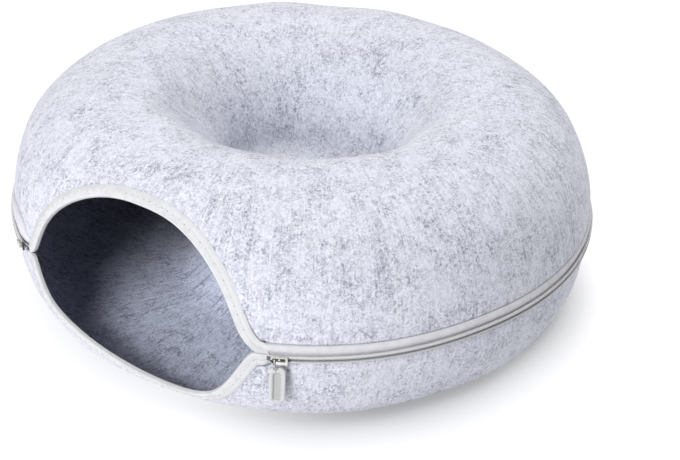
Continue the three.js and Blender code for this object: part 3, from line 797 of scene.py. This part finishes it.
def lower_lift(angle, along, depth):
    """Waves as above, none on the standing ring, and the pleats on the inside."""
    radius, height = lower_line.at(along)
    standing = smooth_step(height, 1 * MM, 13 * MM)
    pleats = pleat_lift(angle, radius) * (depth / FELT) * (along > lower_line.end / 3)
    rise = WAVES * standing * soft_waves(angle, along, WAVE_COUNT, 8) + pleats
    return rise, np.clip(-pleats / (2 * MM), 0, 1)


def dress(piece, material, node=None):
    """Gives a piece its finish, ties it to the one body, and hides the solid it stands for."""
    piece.data.materials.append(material)
    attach(piece, "root")
    if node:
        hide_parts(node)
    return piece


def felt_shell(name, half, line, outline, corner, lift_edge, join, rows_out, rows_in, lift, node):
    """A felt sheet cut a little back from the doorway's outline, dressed in felt."""
    upto = WALL_UPTO[half]
    cut = outline(EDGE_GROW, TAIL_DEG)
    start = felt_start(line, cut, upto, FELT_EDGE_Z[half], corner, lift_edge, from_door)
    path = door_path(line, outline(0, TAIL_DEG), upto, PATH_STEP)[0]
    sheet = felt_sheet(name, line, start, path, join, rows_out, rows_in, lift, half == "upper")
    return dress(sheet, felt, node)


upper_felt = felt_shell(
    "upper_felt", "upper", upper_line, arch_points, 3.3 * MM, LEFT_BAND["lift"],
    150 * MM, (40, 76), (22, 36), upper_lift, "upper_shell",
)
lower_felt = felt_shell(
    "lower_felt", "lower", lower_line, dip_points, -3.0 * MM, 0,
    105 * MM, (28, 60), (26, 84), lower_lift, "lower_shell",
)

# %% [markdown]
# ## Woven tape
# The bindings and the zip's tapes are plain-woven: threads cross over and under at a fixed pitch. A
# product of two sine waves over the tape's own map gives that height. Needle holes are a second group:
# small round spots at an even pitch along one line of the tape, with the faint dent of the seam.

# %% Weave and needle-hole groups
STITCH_PITCH = 6.4 * MM


def weave_group():
    """Over-and-under height of a plain weave, from the map's length and width in metres."""
    tree, (flat, pitch), result = new_group("plain_weave", {"Map": None, "Pitch": 0.8 * MM}, ["Height"])
    rate = calc("DIVIDE", 2 * np.pi, pitch)
    along, across = (calc("SINE", part * rate) for part in split(flat)[:2])
    fill(result, {"Height": along * across})
    return tree


def hole_group():
    """1 at each needle hole (a multiple of the pitch along, one distance across), and 1 along their seam."""
    inputs = {"Map": None, "Pitch": STITCH_PITCH, "Line": 0.0, "Radius": 0.6 * MM}
    tree, (flat, pitch, line, radius), result = new_group("needle_holes", inputs, ("Hole", "Seam"))
    length, width, _ = split(flat)
    steps = length / pitch
    along, across = (steps - calc("ROUND", steps)) * pitch, width - line
    away = calc("SQRT", along * along + across * across)
    hole = 1.0 - ramp(away / radius, 0.45, 1.0)
    seam = 1.0 - ramp(calc("ABSOLUTE", across) / radius, 0.4, 1.6)
    fill(result, {"Hole": hole, "Seam": seam})
    return tree


weave, holes = weave_group(), hole_group()
print("woven tape: weave and needle-hole groups")

# %% [markdown]
# A tape's finish is its colour, worn in faint blotches. Past the needle holes it is greyed with painted shade
# by an amount that runs from the left side to the right one, as the tape tilts away from the light. On the
# left, the leg that is turned in, below 0 on the map, is darkened with painted shade.

# %% Tape material
def darker(colour, share):
    """A colour with each part multiplied by a share."""
    return [part * share for part in colour]


def tape_material(name, colour, hole_colour, pitch, line, radius, worn, tilt):
    """Woven tape with one line of needle holes, a faint unevenness of colour and painted shade."""
    material, tree, shader = finish_material(name)
    flat, place = coordinates(tree, "UV"), coordinates(tree, "Object")
    across, side = split(flat)[1], split(place)[0]
    (threads,) = place_group(tree, weave, {"Map": flat, "Pitch": pitch})
    sewn = {"Map": flat, "Pitch": STITCH_PITCH, "Line": line, "Radius": radius}
    spot, seam = place_group(tree, holes, sewn)
    pulled = ramp(noise(place, 120.0, 1.0), 0.40, 0.62) * 0.6 + 0.2
    hole = spot * pulled + seam * 0.14
    # Painted shade on the outer half, more on the left, less on the right.
    tilted = ramp(side, -100 * MM, 90 * MM) * (tilt[1] - tilt[0]) + tilt[0]
    outer = ramp(across, line + 0.2 * MM, line + 1.2 * MM)
    blotch = ramp(noise(place, 160.0, 3.0), 0.35, 0.7)
    cloth = mix(clamped(blotch * worn + outer * tilted), colour, darker(colour, 0.8))
    # Painted shade on the turned-in leg, on the left only.
    turned_in_shade = ramp(across, -0.1 * MM, -0.9 * MM) * (1.0 - ramp(side, -30 * MM, 10 * MM))
    whole = mix(turned_in_shade, mix(hole, cloth, hole_colour), darker(colour, 0.25))
    feed(shader, Base_Color=whole, Normal=bumped(threads * 0.12 - hole, 0.5, 0.4 * MM))
    feed(shader, Roughness=0.85, Specular_IOR_Level=0.2, Sheen_Weight=0.15)
    return material


BIND_LINE = 5.0 * MM
binding_tape = tape_material(
    "binding_tape", (0.585, 0.588, 0.605), hole_colour=(0.22, 0.22, 0.22), pitch=0.9 * MM,
    line=BIND_LINE, radius=0.6 * MM, worn=0.45, tilt=(0.5, -0.25),
)
print("binding tape: one line of needle holes", BIND_LINE / MM, "mm from the fold")

# %% [markdown]
# ## The doorway's bindings
# A binding is a strip of tape folded over the cut edge. It is a profile carried along a path: the profile
# is a U whose legs lie on both faces of the felt, with a tight, squarish fold and thin, pressed edges, and
# the path is the doorway's outline on the unrolled wall. The U is drawn as a middle line that is thickened
# to both sides.

# %% Profile and strip helpers
BIND = {"width": 10 * MM, "thick": 0.6 * MM, "gap": 0.2 * MM, "bend": 0.8 * MM, "edge": 2.2 * MM}
BIND_ENDS_DEG = {"upper": (27.2, 28.5), "lower": (28.2, 28.6)}  # left end, right end
PRESSED = 0.65


def thick_profile(middle, thick):
    """Closed outline of a strip: the middle line moved half a thickness to each side, with round ends."""
    tangent = np.gradient(middle, axis=0)
    tangent /= np.hypot(*tangent.T)[:, None]
    half = np.broadcast_to(thick, len(middle))[:, None] / 2
    normal = np.stack([-tangent[:, 1], tangent[:, 0]], -1) * half
    turn = np.linspace(0, np.pi, 5)[1:-1, None]
    last = middle[-1] + np.cos(turn) * normal[-1] + np.sin(turn) * tangent[-1] * half[-1]
    first = middle[0] - np.cos(turn) * normal[0] - np.sin(turn) * tangent[0] * half[0]
    return np.concatenate([middle + normal, last, (middle - normal)[::-1], first])


def strip_piece(name, points, uv):
    """Closed strip from sections of points, with a fan over each end."""
    columns, rows = points.shape[:2]
    tips = np.stack([points[0].mean(0), points[-1].mean(0)])
    grid = np.concatenate([points.reshape(-1, 3), tips])
    fans = end_fans(np.arange(rows), np.arange(rows) + (columns - 1) * rows, columns * rows)
    whole = np.concatenate([uv.reshape(-1, 2), uv[[0, -1], 0]])
    return mesh_piece(name, grid, grid_faces(columns, rows, wrap_rows=True), fans, whole)


def bind_middle():
    """Middle line of the U, into the felt and over it (leg, fold, leg), and its thickness along the line."""
    half, bend = BIND["thick"] / 2, BIND["bend"]
    out, inside = BIND["gap"] + half, -FELT - BIND["gap"] - half
    turn = np.linspace(0, np.pi / 2, 6)
    arc = bend * np.stack([1 - np.sin(turn), np.cos(turn) - 1], -1) + [half, 0]
    into = BIND["width"] - (BIND["width"] - half - bend) * np.linspace(0, 1, 13)[:-1] ** 1.5
    pressed = 1 - smooth_step((BIND["width"] - into) / BIND["edge"])
    leg = np.stack([into, -pressed * (half * PRESSED + BIND["gap"] * 0.7)], -1)
    outer = np.concatenate([leg, arc]) + [0, out]
    inner = np.concatenate([leg, arc])[::-1] * [1, -1] + [0, inside]
    thin = np.concatenate([1 - PRESSED * pressed, np.ones(len(turn))])
    return np.concatenate([outer, inner]), BIND["thick"] * np.concatenate([thin, thin[::-1]])


# %% Make both bindings
BIND_STEP, TIP_LENGTH, TIP_WIDTH, LEFT_FADE = 0.9 * MM, 6 * MM, 0.35, 40 * MM


def on_wall(line, path, tangent, into, over):
    """Point beside the path: into the felt along the wall, over it along its normal."""
    length = path[1] + tangent[0] * into
    angle = (path[0] - tangent[1] * into) / RING_R
    return around(*line.at(length, over), angle)


def binding(name, line, outline, upto, wider, node):
    """The U profile carried along the outline, wider on its left and round at its ends, and its length."""
    path, tangent, run = door_path(line, outline, upto, BIND_STEP)
    profile = thick_profile(*bind_middle())
    to_end = np.clip(np.minimum(run, run[-1] - run) / TIP_LENGTH, 0, 1)
    tip = TIP_WIDTH + (1 - TIP_WIDTH) * np.sqrt(1 - (1 - to_end) ** 2)
    left = 1 + wider * smooth_step(-path[:, 0] / LEFT_FADE)
    into = profile[:, 0] * (tip * left)[:, None]
    points = on_wall(line, path.T[:, :, None], tangent.T[:, :, None], into, profile[:, 1])
    outside = np.where(profile[:, 1] > -FELT / 2, profile[:, 0], -profile[:, 0])
    piece = strip_piece(name, points, np.stack(np.broadcast_arrays(run[:, None], outside), -1))
    return dress(piece, binding_tape, node), run[-1]


arch_door = upper_line, arch_points(0, BIND_ENDS_DEG["upper"]), WALL_UPTO["upper"]
dip_door = lower_line, dip_points(0, BIND_ENDS_DEG["lower"]), WALL_UPTO["lower"]
upper_binding, upper_run = binding("upper_binding_tape", *arch_door, 0.0, "upper_binding")
lower_binding, lower_run = binding("lower_binding_tape", *dip_door, 0.25, "lower_binding")
print(f"bindings: {upper_run:.3f} m over the arch, {lower_run:.3f} m round the dip")

# %% [markdown]
# ## Sewing thread
# One row of lockstitch runs along the middle of each binding. A stitch is a short bead of thread that
# dives into the cloth at both ends, so a row is one small bead shape repeated along a path. All beads of
# a row are worked out together and joined in one mesh.

# %% Thread beads along a path
THREAD = 0.55 * MM
BEAD_SPAN = (0.06, 0.88)  # start and length as shares of a stitch


def thread_material():
    """White thread with a fine fuzz and a soft sheen."""
    material, tree, shader = finish_material("white_thread")
    fuzz = noise(coordinates(tree, "Object"), 2600.0, 1.0)
    colour = mix(ramp(fuzz, 0.3, 0.7), (0.60, 0.60, 0.61), (0.70, 0.70, 0.71))
    feed(shader, Base_Color=colour, Normal=bumped(fuzz, 0.4, 0.1 * MM), Roughness=0.6, Sheen_Weight=0.2)
    return material


def bead_row(starts):
    """Beads that arc over and dive at their ends: run along the path, offsets beside and over the cloth."""
    share = np.linspace(0, 1, 9)
    turn = np.linspace(0, 2 * np.pi, 8, endpoint=False)
    arc = np.sin(np.pi * share) ** 0.6
    radius = THREAD / 2 * np.sqrt(np.clip(np.sin(np.pi * np.clip(share, 0.03, 0.97)), 0, 1)) ** 0.5
    steps = STITCH_PITCH * (BEAD_SPAN[0] + BEAD_SPAN[1] * share)
    run = starts[:, None, None] + steps[None, :, None] + 0 * turn
    side = (radius[:, None] * np.cos(turn))[None] + 0 * run
    over = (THREAD * 0.45 * (arc[:, None] - 0.75) + radius[:, None] * np.sin(turn))[None] + 0 * run
    return run, side, over


def binding_stitches(name, line, outline, upto):
    """A row of beads on the outer leg of a binding, their ends where the needle-hole group draws holes."""
    path, tangent, run = door_path(line, outline, upto, BIND_STEP)
    at, side, over = bead_row(np.arange(2, int(run[-1] / STITCH_PITCH) - 2) * STITCH_PITCH)
    route, way = ([np.interp(at, run, line_of[:, k]) for k in range(2)] for line_of in (path, tangent))
    points = on_wall(line, route, way, BIND_LINE + side, BIND["gap"] + BIND["thick"] + over)
    beads, rings, spokes = at.shape
    per_bead = rings * spokes + 2
    grid = np.concatenate([points.reshape(beads, -1, 3), points[:, [0, -1]].mean(2)], 1).reshape(-1, 3)
    fans = end_fans(np.arange(spokes), np.arange(spokes) + (rings - 1) * spokes, per_bead - 2)
    shift = (np.arange(beads) * per_bead)[:, None, None]
    quads = (grid_faces(rings, spokes, wrap_rows=True)[None] + shift).reshape(-1, 4)
    piece = mesh_piece(name, grid, quads, (fans[None] + shift).reshape(-1, 3))
    return dress(piece, thread)


thread = thread_material()
upper_stitches = binding_stitches("upper_binding_stitches", *arch_door)
lower_stitches = binding_stitches("lower_binding_stitches", *dip_door)

# %% [markdown]
# ## The zip's tapes
# Above the coil the tape bulges as a smooth pale band, tucked under the felt's edge; below the coil only
# a narrow strip shows. A tape is a thickened middle line carried round the ring from one doorway corner
# to the other. Near its ends the band is folded away, so its lower edge rises there. Left of the doorway
# the felt's edge is lifted and the band is wider.

# %% Tape sections round the ring
TAPE_END_DEG = {"right": 26.2, "left": 27.0}
FOLD_DEG = {"right": (25.7, 30.1), "left": (28.5, 33.5)}
TAPE_STEP_DEG, TAPE_THICK, TUCK_DEG = 0.4, 0.8 * MM, 2.0
LEFT_BULGE, LEFT_SINK = 1.2 * MM, 3.0 * MM
BAND = {"foot": (10.5 * MM, 0.5 * MM), "lifted": (3 * MM, 9 * MM), "bulge": 6.5 * MM, "half": 5 * MM}
UPPER_TAPE = np.array([
    # radius mm, height above the meeting line mm
    (247.7, 0.6), (248.0, 2.4), (248.4, 3.9), (249.2, 5.2), (249.6, 6.8), (249.6, 8.3), (249.0, 9.6),
    (247.8, 10.4), (246.2, 10.5), (244.8, 10.9), (244.1, 13.5), (243.7, 16.5), (243.5, 20.0),
])
LOWER_TAPE = np.array([
    (247.7, -0.6), (248.1, -1.6), (248.2, -2.3), (247.4, -2.7), (245.6, -2.8), (244.8, -3.6),
    (244.4, -8.0), (244.2, -13.0),
])


def ring_degrees(ends, count):
    """Even degrees from the doorway's right side round the back to its left side, as a column."""
    return np.linspace(ends["right"], 360 - ends["left"], count)[:, None]


def zip_tape(name, middle, rise, tuck, lift, node):
    """Thickened middle line carried round the ring; at both ends its foot rises and it is tucked in."""
    count = int((360 - TAPE_END_DEG["right"] - TAPE_END_DEG["left"]) / TAPE_STEP_DEG)
    deg = ring_degrees(TAPE_END_DEG, count)
    angle, signed = np.radians(deg), from_middle(deg)
    fine = even_path(middle * MM, 0.6 * MM)[0]
    radius, up = thick_profile(softened(fine, 3), TAPE_THICK).T
    to_end = np.minimum(deg - TAPE_END_DEG["right"], 360 - TAPE_END_DEG["left"] - deg)
    flat = [1 - smooth_step(deg, *FOLD_DEG["right"]), 1 - smooth_step(360 - deg, *FOLD_DEG["left"])]
    folded = sum(height * share for height, share in zip(rise, flat))
    foot = smooth_step(up, *BAND["foot"])
    wide = left_band(signed)
    height = ZIP_Z + up + folded * foot + zip_rise(signed) + lift * wide * smooth_step(up, *BAND["lifted"])
    bulge = np.clip(1 - np.abs(up - BAND["bulge"]) / BAND["half"], 0, 1)
    sunk = tuck * (1 - smooth_step(to_end / TUCK_DEG)) + LEFT_SINK * flat[1] * foot
    points = around(radius - sunk + LEFT_BULGE * wide * bulge, height, angle + 0 * height)
    across = np.cumsum(np.hypot(np.diff(radius, prepend=radius[0]), np.diff(up, prepend=up[0])))
    piece = strip_piece(name, points, np.stack(np.broadcast_arrays(angle * RING_R, across), -1))
    return dress(piece, zip_tape_finish, node)


zip_tape_finish = tape_material(
    "zip_tape_cloth", (0.665, 0.655, 0.69), hole_colour=(0.07, 0.07, 0.075), pitch=0.5 * MM,
    line=11.6 * MM, radius=0.8 * MM, worn=0.35, tilt=(0.3, 0.3),
)
upper_folds = (6.0 * MM, 3.0 * MM)  # right end, left end
upper_tape = zip_tape(
    "upper_zip_tape", UPPER_TAPE, upper_folds, 1.9 * MM, LEFT_BAND["lift"], "zip_tape_upper",
)
lower_tape = zip_tape("lower_zip_tape", LOWER_TAPE, (0, 0), 0.6 * MM, 0, "zip_tape_lower")

# %% [markdown]
# ## The coil
# Each half of the zip is a nylon coil, a row of small close loops. A bar of round section carried round
# the ring, whose section swells and shrinks once a loop, gives them in one grid. The sides where the two
# halves face each other are darkened with painted shade, which draws the thin line between them.

# %% Coil halves
COIL = {"r": 250.55 * MM, "up": 1.8 * MM, "half_r": 1.35 * MM, "half_up": 1.2 * MM, "loop": 1.7 * MM}
COIL_END_DEG = {"right": 28.6, "left": 31.1}
LOOP_STEPS, LOOP_SWELL = 5, 0.20


def bowed(wave, power):
    """A sine or cosine raised to a power, its sign kept: a small power makes a round section squarer."""
    return np.sign(wave) * np.abs(wave) ** power


def nylon_material():
    """Pale nylon with a faint grain and a satin surface, painted shade on the sides where the two halves
    meet.
    """
    material, tree, shader = finish_material("nylon_coil")
    grain = ramp(noise(coordinates(tree, "Object"), 900.0), 0.3, 0.7)
    across = split(coordinates(tree, "UV"))[1]
    # Painted shade where the halves face each other.
    facing_shade = clamped(ramp(across, 0.05, -0.7) * 1.1 * (1.0 - grain * 0.2))
    colour = mix(facing_shade, (0.54, 0.54, 0.55), (0.29, 0.29, 0.30))
    feed(shader, Base_Color=colour, Roughness=0.42, Specular_IOR_Level=0.4)
    return material


def coil_half(name, direction, node):
    """Superellipse section that swells with |sin| of the running length, one swell a loop."""
    loops = int(np.radians(360 - sum(COIL_END_DEG.values())) * COIL["r"] / COIL["loop"])
    deg = ring_degrees(COIL_END_DEG, loops * LOOP_STEPS + 1)
    phase = np.arange(len(deg))[:, None] / LOOP_STEPS
    turn = np.linspace(0, 2 * np.pi, 10, endpoint=False)
    swell = 1 - LOOP_SWELL + LOOP_SWELL * np.abs(np.sin(np.pi * phase))
    radius = COIL["r"] + COIL["half_r"] * swell * bowed(np.cos(turn), 0.8)
    height = ZIP_Z + direction * (COIL["up"] + COIL["half_up"] * swell * bowed(np.sin(turn), 0.8))
    angle = np.radians(deg)
    points = around(radius, height + zip_rise(from_middle(deg)), angle + 0 * radius)
    piece = strip_piece(name, points, np.stack(np.broadcast_arrays(angle * RING_R, np.sin(turn)), -1))
    return dress(piece, nylon, node)


nylon = nylon_material()
coil_half("upper_coil", 1, "zip_coil_upper")
coil_half("lower_coil", -1, "zip_coil_lower")

# %% [markdown]
# ## Slider, ring, puller and end box
# The hard pieces are drawn flat, facing the doorway's middle, and turned round the ring's axis to their
# place. Rounded blocks are superellipsoids: a sphere's two angles with their sines and cosines raised to
# a small power, which pushes the sphere out towards a box with soft edges.

# %% Metal and rounded blocks
def metal_material():
    """Bright cast metal: a fine grain in the roughness, two shades in broad spots, painted shade in the
    hollows.
    """
    material, tree, shader = finish_material("zip_metal")
    place = coordinates(tree, "Object")
    fine = noise(place, 1800.0)
    bright = mix(ramp(noise(place, 350.0), 0.35, 0.65), (0.70, 0.69, 0.64), (0.80, 0.79, 0.76))
    # Painted shade: the hollow value darkens parts towards nearly black.
    colour = mix(mark(tree, "hollow"), bright, (0.02, 0.02, 0.02))
    feed(shader, Base_Color=colour, Metallic=0.75, Roughness=fine * 0.25 + 0.18)
    feed(shader, Normal=bumped(fine, 0.15, 0.05 * MM))
    return material


def block(centre, half, power=0.28, columns=28, rows=15):
    """Superellipsoid: centre + half * (cos^p v cos^p u, cos^p v sin^p u, sin^p v), as points and faces."""
    u = np.linspace(0, 2 * np.pi, columns, endpoint=False)[:, None]
    v = np.linspace(-np.pi / 2, np.pi / 2, rows + 2)[1:-1]
    cos_u, sin_u, cos_v, sin_v = (bowed(wave, power) for wave in (np.cos(u), np.sin(u), np.cos(v), np.sin(v)))
    ball = np.stack([cos_v * cos_u, cos_v * sin_u, sin_v + 0 * u], -1)
    unit, faces, fans = capped_grid(ball, [[0, 0, -1], [0, 0, 1]])
    points = np.array(centre) * MM + unit * np.array(half) * MM
    return points, *outward(points, faces, fans)


def loop_of(centre, radius, wire, axis, columns=36, rows=12):
    """Torus: a circle of wire carried round a ring whose axis is 0 for X or 1 for the radius."""
    u = np.linspace(0, 2 * np.pi, columns, endpoint=False)[:, None]
    v = np.linspace(0, 2 * np.pi, rows, endpoint=False)
    reach = radius + wire * np.cos(v)
    a, b, c = reach * np.cos(u), reach * np.sin(u), wire * np.sin(v) + 0 * u
    shape = np.stack([c, a, b] if axis == 0 else [a, c, b], -1)
    points = np.array(centre) * MM + shape.reshape(-1, 3) * MM
    faces = grid_faces(columns, rows, wrap_columns=True, wrap_rows=True)
    return points, *outward(points - points.mean(0), faces, np.zeros((0, 3), int))


def turned_piece(name, deg, shapes, material, node, hollows, values=None):
    """Joins shapes drawn as (sideways, radius, height) and turns them round the axis; hollows get painted
    shade.
    """
    counts = np.cumsum([0] + [len(points) for points, _, _ in shapes])
    flat = np.concatenate([points for points, _, _ in shapes])
    quads = np.concatenate([faces + first for (_, faces, _), first in zip(shapes, counts)])
    triangles = np.concatenate([fans + first for (_, _, fans), first in zip(shapes, counts)])
    angle = np.radians(deg)
    x = flat[:, 0] * np.cos(angle) + flat[:, 1] * np.sin(angle)
    y = AXIS_Y + flat[:, 0] * np.sin(angle) - flat[:, 1] * np.cos(angle)
    dark = np.concatenate([np.full(len(shape[0]), hollows.get(k, 0.0)) for k, shape in enumerate(shapes)])
    marks = {"hollow": dark, **(values or {})}
    piece = mesh_piece(name, np.stack([x, y, flat[:, 2]], -1), quads, triangles, values=marks)
    return dress(piece, material, node)


# %% Slider, end box and wire ring
SLIDER_DEG, END_BOX_DEG = 30.2, -31.6
EYE_SIDE = -1.8
zip_metal = metal_material()
slider_shapes = [
    # (sideways, radius, height) of the middle and of the half sizes, in mm
    block((0.0, 252.4, 78.2), (6.0, 0.6, 2.9)),
    block((0.6, 253.0, 80.9), (6.1, 1.0, 0.45)),
    block((2.4, 253.5, 76.4), (3.9, 0.8, 1.35)),
    block((6.2, 253.3, 78.0), (0.8, 1.2, 3.3)),
    block((0.9, 253.4, 79.3), (0.7, 0.7, 0.7)),
    block((-2.6, 253.6, 78.2), (0.6, 0.9, 1.5)),
    block((-4.9, 253.1, 79.7), (0.8, 0.9, 0.6)),
    block((-5.2, 253.0, 76.3), (0.7, 0.8, 0.6)),
    block((-7.2, 251.8, 78.9), (1.3, 0.7, 1.5)),
    loop_of((EYE_SIDE, 255.1, 72.8), 1.5, 0.5, axis=1),
]
# Painted shade: the slider's plate and the parts round its bridge are darkened to stand in for shadow.
slider_shade = {0: 0.92, 5: 0.3, 7: 0.4, 8: 0.8, 9: 0.45}  # shape number: how dark
turned_piece(
    "zip_slider_body", SLIDER_DEG, slider_shapes, zip_metal, "zip_slider", slider_shade,
)
ring_shape = [loop_of((EYE_SIDE, 253.9, 71.6), 1.6, 0.45, axis=0)]
turned_piece("zip_wire_ring", SLIDER_DEG, ring_shape, zip_metal, "zip_ring", {0: 0.4})
end_shapes = [
    block((-1.4, 253.1, 78.6), (2.6, 0.8, 2.4)),
    block((2.8, 253.1, 78.6), (0.9, 0.9, 2.6)),
    block((0.4, 251.8, 78.6), (3.6, 0.6, 2.2)),
    # Painted shade: a nearly black block stands in for the shadowed gap beside the end box.
    block((6.6, 251.0, 79.4), (1.7, 0.7, 3.4)),
]
turned_piece("zip_end_cap", END_BOX_DEG, end_shapes, zip_metal, "zip_end_box", {2: 0.4, 3: 0.95})

# %% [markdown]
# The puller is a moulded tab with a raised border round a recessed panel. It is a stack of outlines:
# each is a rounded rectangle of its own size, corner and depth, and neighbouring outlines are joined. The
# panel's outline has a round top. A point value marks the panel, which is a shade greyer.

# %% Puller
PULLER = {"width": 12.0, "top": 72.8, "length": 30.8, "r": 253.35, "panel_top": 68.4}  # mm
CORNER_POINTS = 16


def tab_outline(half_width, bottom, top, corner_low, corner_high):
    """Rounded rectangle from the middle of its right side: corners of two radii, joined by straight sides."""
    turn = np.linspace(0, np.pi / 2, CORNER_POINTS)
    low = np.array([half_width - corner_low, bottom + corner_low])
    high = np.array([half_width - corner_high, top - corner_high])
    circle = np.stack([np.cos(turn), np.sin(turn)], -1)
    upper_right = high + corner_high * circle
    upper_left = high * [-1, 1] + corner_high * circle[::-1] * [-1, 1]
    lower_left = low * [-1, 1] + corner_low * circle * [-1, -1]
    lower_right = low + corner_low * circle[::-1] * [1, -1]
    return np.concatenate([upper_right, upper_left, lower_left, lower_right])


def puller_shape():
    """Outlines stacked from the middle of the back, round the edge, over the border and into the panel."""
    half, top, panel_top = PULLER["width"] / 2, PULLER["top"], PULLER["panel_top"]
    bottom = top - PULLER["length"]
    stack = [
        # half width, bottom, top, lower corner, upper corner, radius offset, panel
        (half - 3.0, bottom + 3.0, top - 3.0, 1.0, 2.5, -0.85, 0),
        (half - 0.5, bottom + 0.5, top - 0.5, 2.2, 4.4, -0.85, 0),
        (half - 0.12, bottom + 0.12, top - 0.12, 2.5, 4.6, -0.65, 0),
        (half, bottom, top, 2.6, 4.7, -0.2, 0),
        (half, bottom, top, 2.6, 4.7, 0.8, 0),
        (half - 0.15, bottom + 0.15, top - 0.15, 2.5, 4.6, 1.25, 0),
        (half - 0.6, bottom + 0.6, top - 0.6, 2.2, 4.4, 1.5, 0),
        (half - 2.6, bottom + 1.0, panel_top + 0.3, 1.5, 3.3, 1.5, 0),
        (half - 2.8, bottom + 1.3, panel_top, 1.3, 3.1, 1.25, 0.5),
        (half - 2.95, bottom + 1.45, panel_top - 0.15, 1.2, 2.95, 0.85, 1),
        (half - 4.2, bottom + 2.8, panel_top - 1.4, 0.6, 1.7, 0.8, 1),
    ]
    rings = [np.insert(tab_outline(*row[:5]), 1, PULLER["r"] + row[5], axis=1) for row in stack]
    points = np.stack(rings, 1) * MM
    grid, faces, fans = capped_grid(points, points[:, [0, -1]].mean(0))
    marks = np.concatenate([np.tile([row[6] for row in stack], len(points)), [0, 1]])
    return (grid, *outward(grid - grid.mean(0), faces, fans)), marks


def puller_material():
    """Satin moulded tab: the panel's mark mixes two greys, and a fine grain breaks the gloss."""
    material, tree, shader = finish_material("puller_moulding")
    grain = noise(coordinates(tree, "Object"), 1500.0)
    colour = mix(mark(tree, "panel"), (0.50, 0.51, 0.505), (0.39, 0.40, 0.395))
    feed(shader, Base_Color=colour, Roughness=grain * 0.2 + 0.38, Normal=bumped(grain, 0.2, 0.05 * MM))
    return material


tab, panel = puller_shape()
moulding = puller_material()
turned_piece("zip_pull_tab", SLIDER_DEG, [tab], moulding, "zip_puller", {}, {"panel": panel})

# %% [markdown]
# ## The cloth
# A shell is pressed from a round felt blank, a binding is a straight strip folded in three, and a zip
# tape is a straight strip.

# %% Cloth pieces
print("cloth: 2 shells, 2 bindings, 2 tapes")
